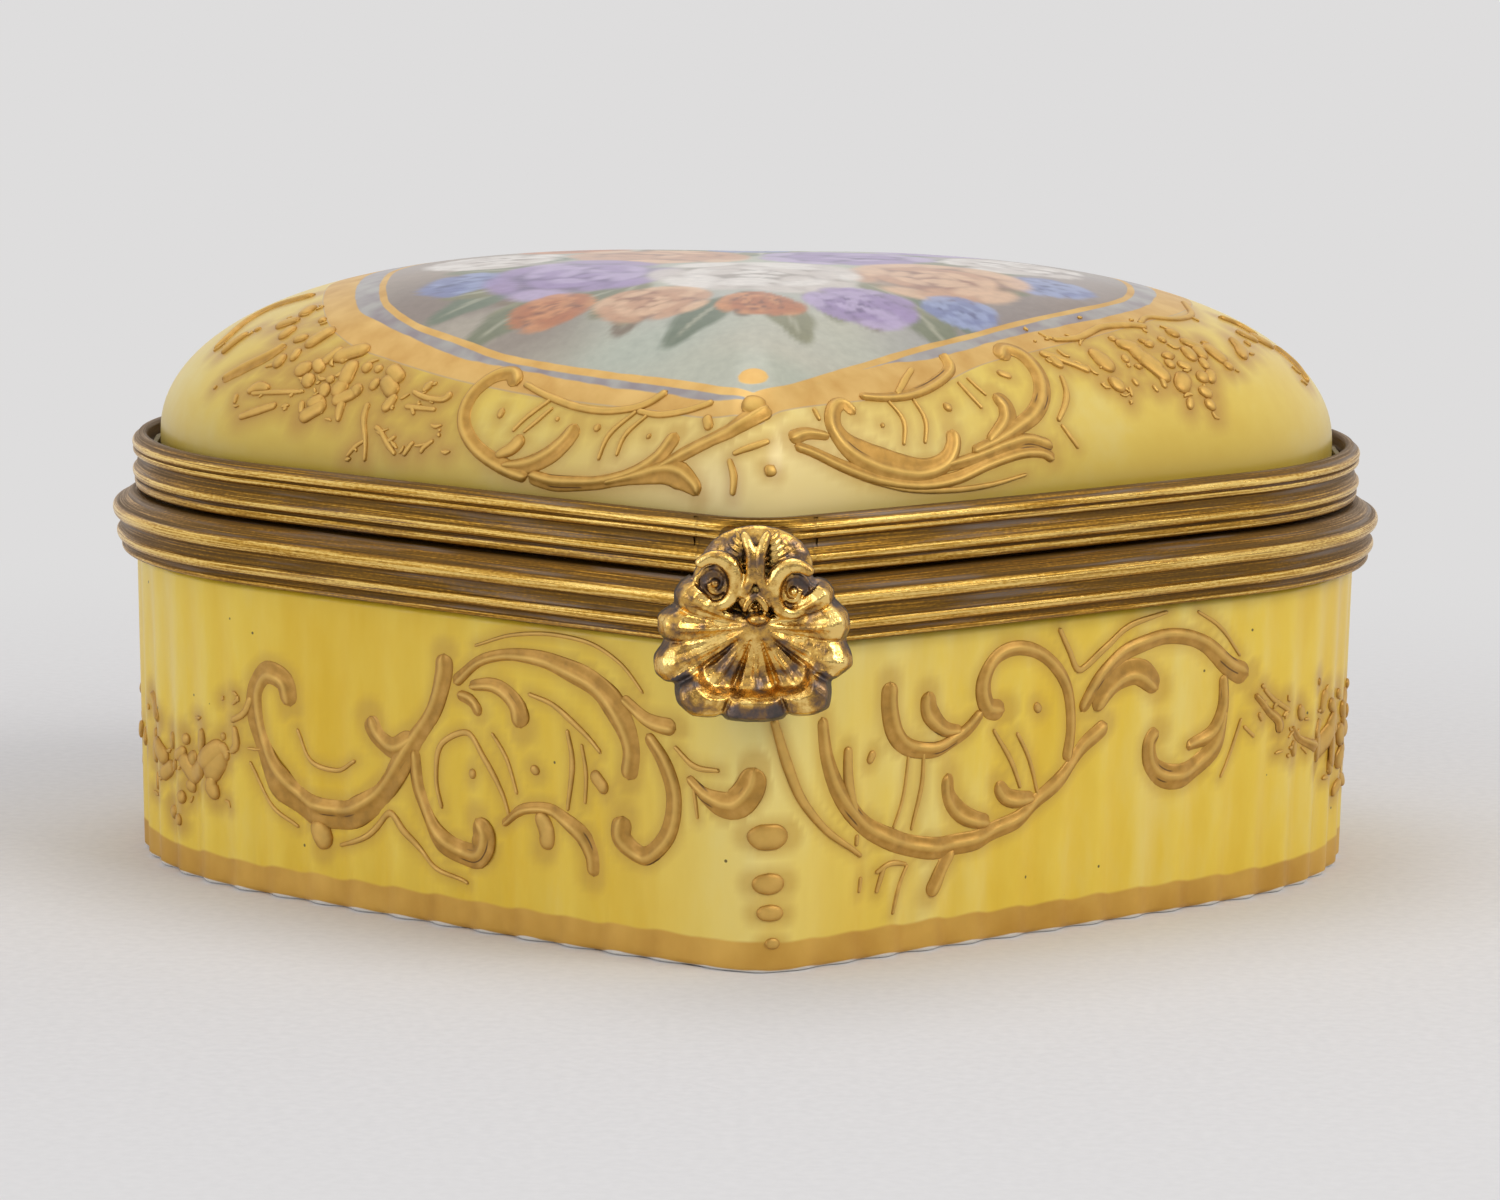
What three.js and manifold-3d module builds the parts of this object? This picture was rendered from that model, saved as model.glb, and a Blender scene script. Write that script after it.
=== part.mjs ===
// Heart-shaped porcelain box with a hinged, domed lid and gilt brass mounts.
// Millimetres, +Z up, the tip of the heart towards -Y, standing on its foot at z = 0.
import * as THREE from 'three';
import { mergeVertices } from 'three/addons/utils/BufferGeometryUtils.js';
import Module from 'manifold-3d';

// Plan of the fluted body at its rim: one half is four tangent arcs
const HALF_WIDTH = 45;
const LOBE_RADIUS = 27;
const LOBE_Y = 48;
const FLANK_RADIUS = 620;
const TIP_RADIUS = 5;
const TIP_Y = 6.3;
const CLEFT_RADIUS = 4;
const SHARP = 0.3;

// Body: fluted wall, foot and floor
const WALL_TOP = 22.3;
const WALL = 3.3;
const FLOOR = 3.6;
const FOOT_TAPER = 0.66;
const FOOT_EDGE = 0.5;
const FOOT_RIM = 3.4;
const FOOT_RECESS = 0.8;
const FLOOR_FILLET = 2.4;
const FLUTES_PER_HALF = 34;
const FLUTE_DEPTH = 0.26;
const REBATE = 0.9;
const REBATE_HEIGHT = 2.6;

// Metal mounts
const CLEAR = 0.3;
const SHEET = 0.7;
const GAP_PLANE = 26.95;
const PARTING = 0.3;
const LID_MOUNT_HEIGHT = 3.9;
const LIP_THICKNESS = 0.7;
const LIP_RISE = 1.45;
const LIP_DEPTH = 5.4;
const LIP_BEVEL = 0.15;
const BEDDING = 0.6;

// Lid dome
const LID_INSET = 1.7;
const LID_WALL = 2.6;
const LID_BEDDING = 0.5;
const DOME_SPRING = 31.2;
const DOME_RISE = 13.3;
const DOME_Y = 40;
const DOME_FULLNESS = 3;
const DOME_STEPS = 8;

// Hinge at the cleft
const HINGE_WIDTH = 17;
const KNUCKLES = 5;
const BARREL_RADIUS = 1.4;
const PIN_RADIUS = 0.6;
const PIN_CLEAR = 0.08;
const PIN_HEAD = 0.35;
const HINGE_SETBACK = 0.75;
const LEAF = 1.15;

// Shell thumbpiece and its catch
const SHELL_RADIUS = 6.65;
const SHELL_HUB_Z = 24.9;
const SHELL_DEPTH = 3.1;
const SHELL_PLATE = 0.9;
const RIB_RADIUS = 1.1;
const CREST_Z = 31.5;
const SHELL_FOOT_Z = 18.3;
const VOLUTE_RADIUS = 1.75;
const VOLUTE_X = 2.65;
const VOLUTE_Z = 27.3;
const STUD_RADIUS = 0.6;
const STUD_REACH = 0.8;
const STUD_Z = 24.4;
const SEAT_DEPTH = 0.25;
const LUG_SKIN = 0.45;
const LUG_HALF_WIDTH = 1.7;

const GILT = { color: 0xc8983c, metalness: 1, roughness: 0.35 };
const PORCELAIN = { color: 0xdcc050, metalness: 0, roughness: 0.3 };
const PLASTER = { color: 0xd8d2c4, metalness: 0, roughness: 0.9 };

// Mouldings rolled into the mounts, bottom to top: outward offset and height above the lower edge
const BASE_MOULDING = [
  [0.95, 0], [1.15, 0.25], [1.0, 0.45], [1.45, 0.6], [1.55, 0.9], [1.35, 1.15],
  [1.35, 1.9], [1.6, 2.4], [1.85, 2.75], [1.7, 3.15], [1.35, 3.35], [0.5, 4.05],
];
const LID_MOULDING = [
  [0, 0], [0.2, 0.2], [0.2, 0.6], [0.05, 0.8], [0.35, 1.1], [0.35, 1.5], [0.1, 1.75],
  [-0.05, 2.35], [0.35, 2.75], [0.4, 3.05], [0.2, 3.2], [0.45, 3.45], [0.35, 3.75],
];
const BASE_MOUNT_HEIGHT = 4.3;
const proudest = (moulding) => Math.max(...moulding.map(([offset]) => offset));
const BASE_PROUD = proudest(BASE_MOULDING);
const LID_PROUD = proudest(LID_MOULDING);

const { Manifold, Mesh: SolidMesh } = await Module().then((wasm) => {
  wasm.setup();
  return wasm;
});

const group = new THREE.Group();

function addPiece(name, geometry, finish) {
  const mesh = new THREE.Mesh(geometry, new THREE.MeshStandardMaterial(finish));
  mesh.name = name;
  group.add(mesh);
}

// Closed solids for joining and cutting, and back again
function solidOf(geometry) {
  const bare = geometry.clone();
  bare.deleteAttribute('normal');
  bare.deleteAttribute('uv');
  const merged = mergeVertices(bare, 1e-5);
  return new Manifold(new SolidMesh({
    numProp: 3,
    vertProperties: new Float32Array(merged.attributes.position.array),
    triVerts: new Uint32Array(merged.index.array),
  }));
}

function geometryOf(solid) {
  const { vertProperties, triVerts, numProp } = solid.getMesh();
  const xyz = [];
  for (let i = 0; i < vertProperties.length; i += numProp) {
    xyz.push(vertProperties[i], vertProperties[i + 1], vertProperties[i + 2]);
  }
  return indexedGeometry(xyz, Array.from(triVerts));
}

function indexedGeometry(xyz, index) {
  const geometry = new THREE.BufferGeometry();
  geometry.setAttribute('position', new THREE.Float32BufferAttribute(xyz, 3));
  geometry.setIndex(index);
  geometry.computeVertexNormals();
  return geometry;
}

// Centre of the large flank circle, which touches both the tip and the lobe circles from outside
function flankCentre() {
  const tip = new THREE.Vector2(0, TIP_Y);
  const lobe = new THREE.Vector2(HALF_WIDTH - LOBE_RADIUS, LOBE_Y);
  const fromTip = FLANK_RADIUS - TIP_RADIUS;
  const fromLobe = FLANK_RADIUS - LOBE_RADIUS;
  const span = lobe.distanceTo(tip);
  const along = (fromTip ** 2 - fromLobe ** 2 + span ** 2) / (2 * span);
  const aside = Math.sqrt(fromTip ** 2 - along ** 2);
  const toLobe = lobe.clone().sub(tip).divideScalar(span);
  return new THREE.Vector2(-toLobe.y * aside, toLobe.x * aside).addScaledVector(toLobe, along).add(tip);
}

// Right half of the plan, offset outwards: tip, flank, lobe and the hollow cleft
function halfArcs(offset) {
  const flank = flankCentre();
  const lobe = new THREE.Vector2(HALF_WIDTH - LOBE_RADIUS, LOBE_Y);
  const tipRadius = Math.max(TIP_RADIUS + offset, SHARP);
  const tipReach = FLANK_RADIUS + offset - tipRadius;
  const tip = new THREE.Vector2(0, flank.y - Math.sqrt(tipReach ** 2 - flank.x ** 2));
  const cleftRadius = Math.max(CLEFT_RADIUS - offset, SHARP);
  const cleftReach = LOBE_RADIUS + offset + cleftRadius;
  const cleft = new THREE.Vector2(0, lobe.y + Math.sqrt(cleftReach ** 2 - lobe.x ** 2));
  const down = -Math.PI / 2;
  const tipEnd = tip.clone().sub(flank).angle() - 2 * Math.PI;
  const flankEnd = lobe.clone().sub(flank).angle() - 2 * Math.PI;
  const lobeEnd = cleft.clone().sub(lobe).angle();
  return [
    { centre: tip, radius: tipRadius, from: down, to: tipEnd, out: 1 },
    { centre: flank, radius: FLANK_RADIUS + offset, from: tipEnd, to: flankEnd, out: 1 },
    { centre: lobe, radius: LOBE_RADIUS + offset, from: flankEnd, to: lobeEnd, out: 1 },
    { centre: cleft, radius: cleftRadius, from: lobeEnd - Math.PI, to: down, out: -1 },
  ];
}

// A station is a place along the half plan: arc number and share of that arc
const TIP_STEPS = 3;
const LOBE_STEPS = 16;
const CLEFT_STEPS = 2;
const FLANK_SHARES = [0.03, 0.22, 0.48, 0.74, 1];
const steps = (arc, count) => Array.from({ length: count }, (_, i) => [arc, (i + 1) / count]);
const PLAIN_STATIONS = [
  [0, 0], ...steps(0, TIP_STEPS), ...FLANK_SHARES.map((share) => [1, share]),
  ...steps(2, LOBE_STEPS), ...steps(3, CLEFT_STEPS),
];

// Stations spaced evenly round the wall, four to a flute
const STEPS_PER_FLUTE = 4;
function evenStations(count) {
  const lengths = halfArcs(0).map((arc) => arc.radius * Math.abs(arc.to - arc.from));
  const total = lengths.reduce((sum, length) => sum + length, 0);
  return Array.from({ length: count + 1 }, (_, i) => {
    let left = (total * i) / count;
    let arc = 0;
    while (arc < lengths.length - 1 && left > lengths[arc]) {
      left -= lengths[arc];
      arc += 1;
    }
    return [arc, Math.min(left / lengths[arc], 1)];
  });
}
const FLUTE_STATIONS = evenStations(FLUTES_PER_HALF * STEPS_PER_FLUTE);

// Closed ring round the heart at one height, anticlockwise from above.
// push(i, arc) moves a station further out.
function ring(stations, offset, z, push = () => 0) {
  const arcs = halfArcs(offset);
  const right = stations.map(([number, share], i) => {
    const arc = arcs[number];
    const angle = arc.from + (arc.to - arc.from) * share;
    const radius = arc.radius + arc.out * push(i, number);
    return new THREE.Vector3(
      arc.centre.x + radius * Math.cos(angle), arc.centre.y + radius * Math.sin(angle), z);
  });
  right[0].x = 0;
  right.at(-1).x = 0;
  const left = right.slice(1, -1).reverse().map((p) => new THREE.Vector3(-p.x, p.y, p.z));
  return [...right, ...left];
}

// Faces between two rings: a band where their counts match, a flat collar where they differ
function between(lower, upper) {
  const count = lower.points.length;
  const faces = [];
  if (upper.points.length === count) {
    for (let i = 0; i < count; i += 1) {
      const next = (i + 1) % count;
      const [a, b] = [lower.start + i, lower.start + next];
      const [c, d] = [upper.start + next, upper.start + i];
      faces.push(a, b, c, a, c, d);
    }
    return faces;
  }
  const facesDown = lower.area < upper.area;
  const [outer, inner] = facesDown ? [upper, lower] : [lower, upper];
  const number = (i) => (i < outer.points.length ? outer.start + i : inner.start + i - outer.points.length);
  for (const face of THREE.ShapeUtils.triangulateShape(outer.points, [inner.points])) {
    const [a, b, c] = face.map(number);
    faces.push(...(facesDown ? [a, c, b] : [a, b, c]));
  }
  return faces;
}

// Skin over a stack of rings. An open stack is capped at both ends, a closed one joins up.
function stack(rings, closed = false) {
  let start = 0;
  const loops = rings.map((points) => {
    const loop = { points, start, area: THREE.ShapeUtils.area(points) };
    start += points.length;
    return loop;
  });
  const index = loops.slice(1).flatMap((loop, i) => between(loops[i], loop));
  if (closed) {
    index.push(...between(loops.at(-1), loops[0]));
  } else {
    const cap = (loop, flip) => THREE.ShapeUtils.triangulateShape(loop.points, []).forEach(([a, b, c]) => {
      index.push(...(flip ? [a, c, b] : [a, b, c]).map((i) => i + loop.start));
    });
    cap(loops[0], true);
    cap(loops.at(-1), false);
  }
  return indexedGeometry(rings.flat().flatMap((p) => [p.x, p.y, p.z]), index);
}

// A strip of constant section carried round the heart; section points run anticlockwise
function strip(section, push) {
  return stack(section.map(([offset, z]) => ring(PLAIN_STATIONS, offset, z, push && push(offset))), true);
}

// Body: recessed foot, fluted wall, rebated rim, plain inside
function bodyGeometry() {
  const flute = (depth) => (i) => depth * Math.cos((2 * Math.PI * i) / STEPS_PER_FLUTE);
  const fluted = (offset, z, depth) => ring(FLUTE_STATIONS, offset, z, flute(depth));
  const plain = (offset, z) => ring(PLAIN_STATIONS, offset, z);
  const rimTop = WALL_TOP + REBATE_HEIGHT;
  const foot = -FOOT_TAPER - FOOT_EDGE;
  return stack([
    plain(foot - FOOT_RIM - FOOT_RECESS / 2, FOOT_RECESS),
    plain(foot - FOOT_RIM, 0),
    fluted(foot, 0, FLUTE_DEPTH / 2),
    fluted(-FOOT_TAPER, FOOT_EDGE, FLUTE_DEPTH),
    fluted(-FOOT_TAPER / 2, WALL_TOP / 2, FLUTE_DEPTH),
    fluted(0, WALL_TOP, FLUTE_DEPTH / 2),
    plain(-REBATE, WALL_TOP),
    plain(-REBATE, rimTop),
    plain(-WALL, rimTop),
    plain(-WALL - FOOT_TAPER, FLOOR + FLOOR_FILLET),
    plain(-WALL - FOOT_TAPER - FLOOR_FILLET * 0.3, FLOOR + FLOOR_FILLET * 0.3),
    plain(-WALL - FOOT_TAPER - FLOOR_FILLET, FLOOR),
  ]);
}

// Dome: plan rings shrunk towards one centre, with the cleft filling out as they rise
function domeRing(offset, shrink, z) {
  const backLine = LOBE_Y + LOBE_RADIUS + offset;
  const lobeX = HALF_WIDTH - LOBE_RADIUS;
  const fill = 1 - shrink ** 2;
  return ring(PLAIN_STATIONS, offset, z).map((p) => {
    const inCleft = p.y > LOBE_Y && Math.abs(p.x) < lobeX;
    const y = inCleft ? p.y + (backLine - p.y) * fill : p.y;
    return new THREE.Vector3(p.x * shrink, DOME_Y + (y - DOME_Y) * shrink, z);
  });
}

function domeRings(offset, spring, rise) {
  return Array.from({ length: DOME_STEPS }, (_, i) => {
    const angle = ((i + 1) / (DOME_STEPS + 0.6)) * (Math.PI / 2);
    const shrink = Math.cos(angle) ** (2 / DOME_FULLNESS);
    return domeRing(offset, shrink, spring + rise * Math.sin(angle));
  });
}

function lidGeometry() {
  const rim = GAP_PLANE + PARTING / 2 + SHEET + 2 * CLEAR + LID_BEDDING;
  const inner = -LID_INSET - LID_WALL;
  return stack([
    ...domeRings(inner, DOME_SPRING, DOME_RISE - LID_WALL).reverse(),
    ring(PLAIN_STATIONS, inner, DOME_SPRING),
    ring(PLAIN_STATIONS, inner, rim),
    ring(PLAIN_STATIONS, -LID_INSET, rim),
    ring(PLAIN_STATIONS, -LID_INSET, DOME_SPRING),
    ...domeRings(-LID_INSET, DOME_SPRING, DOME_RISE),
  ]);
}

// Mounts: a moulded wall with a flat land that covers the rim of the porcelain
const BASE_TOP = GAP_PLANE - PARTING / 2;
const BASE_LOW = BASE_TOP - BASE_MOUNT_HEIGHT;
const LID_LOW = GAP_PLANE + PARTING / 2;
const LID_TOP = LID_LOW + LID_MOUNT_HEIGHT;
const LIP_FACE = -WALL - 0.5;
const BASE_LAND = LIP_FACE + CLEAR;
const LID_LAND = LIP_FACE + 0.5;

function baseMountGeometry() {
  return strip([
    ...BASE_MOULDING.map(([offset, rise]) => [offset, BASE_LOW + rise]),
    [0, BASE_TOP], [BASE_LAND, BASE_TOP], [BASE_LAND, BASE_TOP - SHEET],
    [CLEAR, BASE_TOP - SHEET], [CLEAR, BASE_LOW],
  ]);
}

// The lid mount is filed back round the tip, where the thumbpiece's lug sits
function lidMountGeometry() {
  const wall = -LID_INSET + 0.95;
  const filed = (offset) => (i, arc) => (arc === 0 && offset > wall ? Math.min(0, -SEAT_DEPTH - offset) : 0);
  return strip([
    ...LID_MOULDING.map(([offset, rise]) => [offset, LID_LOW + rise]),
    [0.05, LID_TOP], [wall + 0.15, LID_TOP], [wall, LID_TOP - 0.3],
    [wall, LID_LOW + SHEET], [LID_LAND, LID_LOW + SHEET], [LID_LAND, LID_LOW],
  ], filed);
}

// Locating lip, a band soldered inside the base mount that stands up into the lid
function lipGeometry() {
  const back = LIP_FACE - LIP_THICKNESS;
  const top = GAP_PLANE + LIP_RISE;
  const low = BASE_TOP - LIP_DEPTH;
  return strip([
    [LIP_FACE, low], [LIP_FACE, top - LIP_BEVEL], [LIP_FACE - LIP_BEVEL, top],
    [back + LIP_BEVEL, top], [back, top - LIP_BEVEL], [back, low],
  ]);
}

// Plaster that beds each rim in its mount, over the edge and down the outside
function baseBeddingGeometry() {
  const top = BASE_TOP - SHEET - CLEAR;
  const under = top - BEDDING;
  const inside = -WALL + 0.2;
  const skirt = -REBATE + CLEAR;
  return strip([
    [0, BASE_LOW + 0.4], [0, top], [inside, top], [inside, under], [skirt, under], [skirt, BASE_LOW + 0.4],
  ]);
}

function lidBeddingGeometry() {
  const low = LID_LOW + SHEET + CLEAR;
  const over = low + LID_BEDDING;
  const inside = LID_LAND + 0.2;
  const skirt = -LID_INSET + CLEAR;
  const outside = -LID_INSET + 0.65;
  return strip([
    [outside, low], [outside, LID_TOP - 0.8], [skirt, LID_TOP - 0.8], [skirt, over], [inside, over], [inside, low],
  ]);
}

// Hinge: two leaves that bridge the cleft and interleave on one barrel
const HINGE_Y = LOBE_Y + LOBE_RADIUS + BASE_PROUD + HINGE_SETBACK;
const KNUCKLE = (HINGE_WIDTH - (KNUCKLES - 1) * CLEAR) / KNUCKLES;

function alongX(radius, length, x, sides = 20) {
  const cylinder = new THREE.CylinderGeometry(radius, radius, length, sides);
  cylinder.rotateZ(Math.PI / 2);
  cylinder.translate(x, HINGE_Y, GAP_PLANE);
  return solidOf(cylinder);
}

// Height of the back of the plan above the x axis, between the lobes' rearmost points
function backY(x, offset) {
  const [, , lobe, cleft] = halfArcs(offset);
  const edge = cleft.centre.x + cleft.radius * Math.cos(cleft.from);
  const away = Math.abs(x);
  if (away < edge) {
    return cleft.centre.y - Math.sqrt(cleft.radius ** 2 - away ** 2);
  }
  return lobe.centre.y + Math.sqrt(lobe.radius ** 2 - (away - lobe.centre.x) ** 2);
}

function leafGeometry(mountOffset, low, own) {
  const half = HINGE_WIDTH / 2;
  const rear = HINGE_Y - BARREL_RADIUS * 0.65;
  const shape = new THREE.Shape();
  shape.moveTo(-half, rear);
  const count = 14;
  for (let i = 0; i <= count; i += 1) {
    const x = -half + (HINGE_WIDTH * i) / count;
    shape.lineTo(x, backY(x, mountOffset + CLEAR));
  }
  shape.lineTo(half, rear);
  const slab = new THREE.ExtrudeGeometry(shape, { depth: LEAF, bevelEnabled: false });
  slab.translate(0, 0, low);
  let solid = solidOf(slab);
  for (let i = 0; i < KNUCKLES; i += 1) {
    const x = -half + KNUCKLE / 2 + i * (KNUCKLE + CLEAR);
    solid = own(i)
      ? solid.add(alongX(BARREL_RADIUS, KNUCKLE, x))
      : solid.subtract(alongX(BARREL_RADIUS + CLEAR, KNUCKLE + 2 * CLEAR, x));
  }
  return geometryOf(solid.subtract(alongX(PIN_RADIUS + PIN_CLEAR, HINGE_WIDTH + 2, 0)));
}

function pinGeometry() {
  const end = HINGE_WIDTH / 2 + CLEAR;
  const head = PIN_RADIUS * 1.5;
  const half = [[head, end], [head, end + PIN_HEAD * 0.5], [head * 0.6, end + PIN_HEAD], [0, end + PIN_HEAD]];
  const profile = [
    ...half.map(([r, along]) => new THREE.Vector2(r, -along)).reverse(),
    new THREE.Vector2(PIN_RADIUS, -end), new THREE.Vector2(PIN_RADIUS, end),
    ...half.map(([r, along]) => new THREE.Vector2(r, along)),
  ];
  const pin = new THREE.LatheGeometry(profile, 16);
  pin.rotateZ(Math.PI / 2);
  pin.translate(0, HINGE_Y, GAP_PLANE);
  return geometryOf(solidOf(pin));
}

// Front of the base mount's corner, and the plane of the thumbpiece's back
const CORNER_Y = TIP_Y - TIP_RADIUS - BASE_PROUD;
const SHELL_BACK = CORNER_Y - CLEAR;
const SHELL_FRONT = SHELL_BACK - SHELL_DEPTH;

// A tapering rod through points, closed at both ends
function rod(points, radii, sides) {
  const curve = new THREE.CatmullRomCurve3(points);
  const count = radii.length - 1;
  const frames = curve.computeFrenetFrames(count, false);
  const rings = radii.map((radius, i) => {
    const centre = curve.getPointAt(i / count);
    return Array.from({ length: sides }, (_, j) => {
      const angle = (2 * Math.PI * j) / sides;
      return centre.clone()
        .addScaledVector(frames.normals[i], radius * Math.cos(angle))
        .addScaledVector(frames.binormals[i], radius * Math.sin(angle));
    });
  });
  const index = [];
  for (let i = 0; i < count; i += 1) {
    for (let j = 0; j < sides; j += 1) {
      const [a, b] = [i * sides + j, i * sides + ((j + 1) % sides)];
      index.push(a, b, b + sides, a, b + sides, a + sides);
    }
  }
  for (let j = 1; j < sides - 1; j += 1) {
    const last = count * sides;
    index.push(0, j + 1, j, last, last + j, last + j + 1);
  }
  return solidOf(indexedGeometry(rings.flat().flatMap((p) => [p.x, p.y, p.z]), index));
}

function pebble(x, y, z, rx, ry, rz) {
  const ball = new THREE.SphereGeometry(1, 12, 8);
  ball.scale(rx, ry, rz);
  ball.translate(x, y, z);
  return solidOf(ball);
}

function block(x0, x1, y0, y1, z0, z1) {
  const box = new THREE.BoxGeometry(x1 - x0, y1 - y0, z1 - z0);
  box.translate((x0 + x1) / 2, (y0 + y1) / 2, (z0 + z1) / 2);
  return solidOf(box);
}

// One rib of the shell, swelling towards its round end; angle is measured from straight down
function shellRib(angle, reach) {
  const out = (share, y) => new THREE.Vector3(
    Math.sin(angle) * reach * share, y, SHELL_HUB_Z - Math.cos(angle) * reach * share);
  const mid = SHELL_BACK - RIB_RADIUS;
  return rod(
    [out(0.1, mid), out(0.45, mid - 0.7), out(0.8, mid - 0.6), out(1, mid)],
    [0.3, 0.6, 0.85, 1, 1, 0.55].map((share) => share * RIB_RADIUS), 8);
}

// Volute: a spiral band that rolls in to a bead
function volute(side) {
  const turns = 1.55;
  const points = Array.from({ length: 13 }, (_, i) => {
    const share = i / 12;
    const angle = -Math.PI * 0.35 + 2 * Math.PI * turns * share;
    const radius = VOLUTE_RADIUS * (1 - 0.72 * share);
    return new THREE.Vector3(
      side * (VOLUTE_X - radius * Math.cos(angle)), SHELL_BACK - 1.7, VOLUTE_Z + radius * Math.sin(angle));
  });
  const radii = Array.from({ length: 19 }, (_, i) => 0.5 - 0.24 * (i / 18));
  return rod(points, radii, 6);
}

function shellGeometry() {
  const plateY = SHELL_BACK - SHELL_PLATE;
  const disc = new THREE.CylinderGeometry(SHELL_RADIUS * 0.72, SHELL_RADIUS * 0.72, SHELL_PLATE + CLEAR, 24);
  disc.translate(0, SHELL_BACK + (CLEAR - SHELL_PLATE) / 2, SHELL_HUB_Z - 0.5);
  let shell = solidOf(disc);
  const neck = new THREE.Shape([
    [-3.9, VOLUTE_Z - 1], [3.9, VOLUTE_Z - 1], [3.6, VOLUTE_Z + 1.2], [0.95, CREST_Z - 0.7], [-0.95, CREST_Z - 0.7],
    [-3.6, VOLUTE_Z + 1.2],
  ].map(([x, z]) => new THREE.Vector2(x, z)));
  const neckPlate = new THREE.ExtrudeGeometry(neck, { depth: SHELL_PLATE + CLEAR, bevelEnabled: false });
  neckPlate.rotateX(Math.PI / 2);
  neckPlate.translate(0, SHELL_BACK + CLEAR, 0);
  shell = shell.add(solidOf(neckPlate));
  const ribs = [[0, 0.66], [23, 0.7], [46, 0.86], [70, 1.07], [90, 0.98], [110, 0.86]];
  for (const [degrees, share] of ribs) {
    for (const side of degrees ? [-1, 1] : [1]) {
      shell = shell.add(shellRib(side * THREE.MathUtils.degToRad(degrees), SHELL_RADIUS * share));
    }
  }
  const lipZ = SHELL_FOOT_Z + 1.2;
  const lipY = SHELL_FRONT + 1.4;
  shell = shell.add(pebble(0, lipY, lipZ, 1.9, 1.4, 1.2));
  for (const side of [-1, 1]) {
    shell = shell
      .add(pebble(side * 3.2, lipY + 0.1, lipZ + 0.15, 2.3, 1.3, 1.25))
      .add(volute(side))
      .add(pebble(side * VOLUTE_X, SHELL_BACK - 1.6, VOLUTE_Z, 0.45, 0.7, 0.45))
      .add(rod([
        new THREE.Vector3(side * 0.8, SHELL_BACK - 1.5, SHELL_HUB_Z + 0.6),
        new THREE.Vector3(side * 0.35, SHELL_BACK - 1.7, VOLUTE_Z + 0.6),
        new THREE.Vector3(side * 0.4, SHELL_BACK - 1.3, VOLUTE_Z + 2.8),
        new THREE.Vector3(side * 0.85, SHELL_BACK - 0.7, CREST_Z - 0.25),
      ], [0.4, 0.5, 0.5, 0.45, 0.45, 0.3], 6));
  }
  shell = shell
    .add(pebble(0, SHELL_BACK - 1.6, SHELL_HUB_Z + 0.7, 0.95, 1, 0.9))
    .subtract(block(-9, 9, SHELL_BACK, SHELL_BACK + 9, SHELL_FOOT_Z - 5, CREST_Z + 5))
    .subtract(block(-STUD_RADIUS - CLEAR, STUD_RADIUS + CLEAR, plateY - 0.3, SHELL_BACK + 1,
      SHELL_FOOT_Z - 5, STUD_Z + STUD_RADIUS + CLEAR));
  return geometryOf(shell);
}

// Lug: a saddle bent round the filed corner of the lid mount, with a block that carries the shell
function lugGeometry() {
  const arc = (offset) => {
    const [tip] = halfArcs(offset);
    const count = 2 * TIP_STEPS;
    return Array.from({ length: count + 1 }, (_, i) => {
      const angle = -Math.PI - tip.to + ((2 * tip.to + Math.PI) * i) / count;
      return new THREE.Vector2(
        tip.centre.x + tip.radius * Math.cos(angle), tip.centre.y + tip.radius * Math.sin(angle));
    });
  };
  const inner = CLEAR - SEAT_DEPTH;
  const saddle = new THREE.Shape([...arc(inner + LUG_SKIN), ...arc(inner).reverse()]);
  const height = LID_MOUNT_HEIGHT - 0.3;
  const plate = new THREE.ExtrudeGeometry(saddle, { depth: height, bevelEnabled: false });
  plate.translate(0, 0, LID_LOW + 0.15);
  const front = TIP_Y - TIP_RADIUS - inner - LUG_SKIN;
  const carrier = block(-LUG_HALF_WIDTH, LUG_HALF_WIDTH, SHELL_BACK + CLEAR, front + LUG_SKIN / 2,
    LID_LOW + 0.5, LID_LOW + height - 0.5);
  return geometryOf(solidOf(plate).add(carrier));
}

// Stud on the corner of the base mount that the thumbpiece snaps over
function studGeometry() {
  const profile = [[0, 0], [STUD_RADIUS, 0], [STUD_RADIUS, STUD_REACH * 0.5], [STUD_RADIUS * 0.6, STUD_REACH * 0.9],
    [0, STUD_REACH]].map(([r, along]) => new THREE.Vector2(r, along));
  const stud = new THREE.LatheGeometry(profile, 12);
  stud.rotateX(Math.PI);
  stud.translate(0, SHELL_BACK + 0.05, STUD_Z);
  return geometryOf(solidOf(stud));
}

addPiece('base_box', bodyGeometry(), PORCELAIN);
addPiece('base_bedding', baseBeddingGeometry(), PLASTER);
addPiece('base_collar', baseMountGeometry(), GILT);
addPiece('locating_lip', lipGeometry(), GILT);
addPiece('base_hinge_leaf', leafGeometry(BASE_PROUD, GAP_PLANE - 0.35 - LEAF, (i) => i % 2 === 0), GILT);
addPiece('hinge_pin', pinGeometry(), GILT);
addPiece('catch_stud', studGeometry(), GILT);
addPiece('lid_shell', lidGeometry(), PORCELAIN);
addPiece('lid_bedding', lidBeddingGeometry(), PLASTER);
addPiece('lid_collar', lidMountGeometry(), GILT);
addPiece('lid_hinge_leaf', leafGeometry(LID_PROUD, GAP_PLANE + 0.3, (i) => i % 2 === 1), GILT);
addPiece('clasp_lug', lugGeometry(), GILT);
addPiece('shell_clasp', shellGeometry(), GILT);

// The origin is under the middle of the whole box, on the plane of the foot
const bounds = new THREE.Box3().setFromObject(group);
group.position.set(0, -(bounds.min.y + bounds.max.y) / 2, 0);

export default group;
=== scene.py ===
"""Looks of a heart-shaped porcelain box: fluted yellow body, domed lid with a painted panel, gilt mounts."""

import math
import random

import bpy
import numpy as np
from mathutils import Matrix, Vector, kdtree


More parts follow.
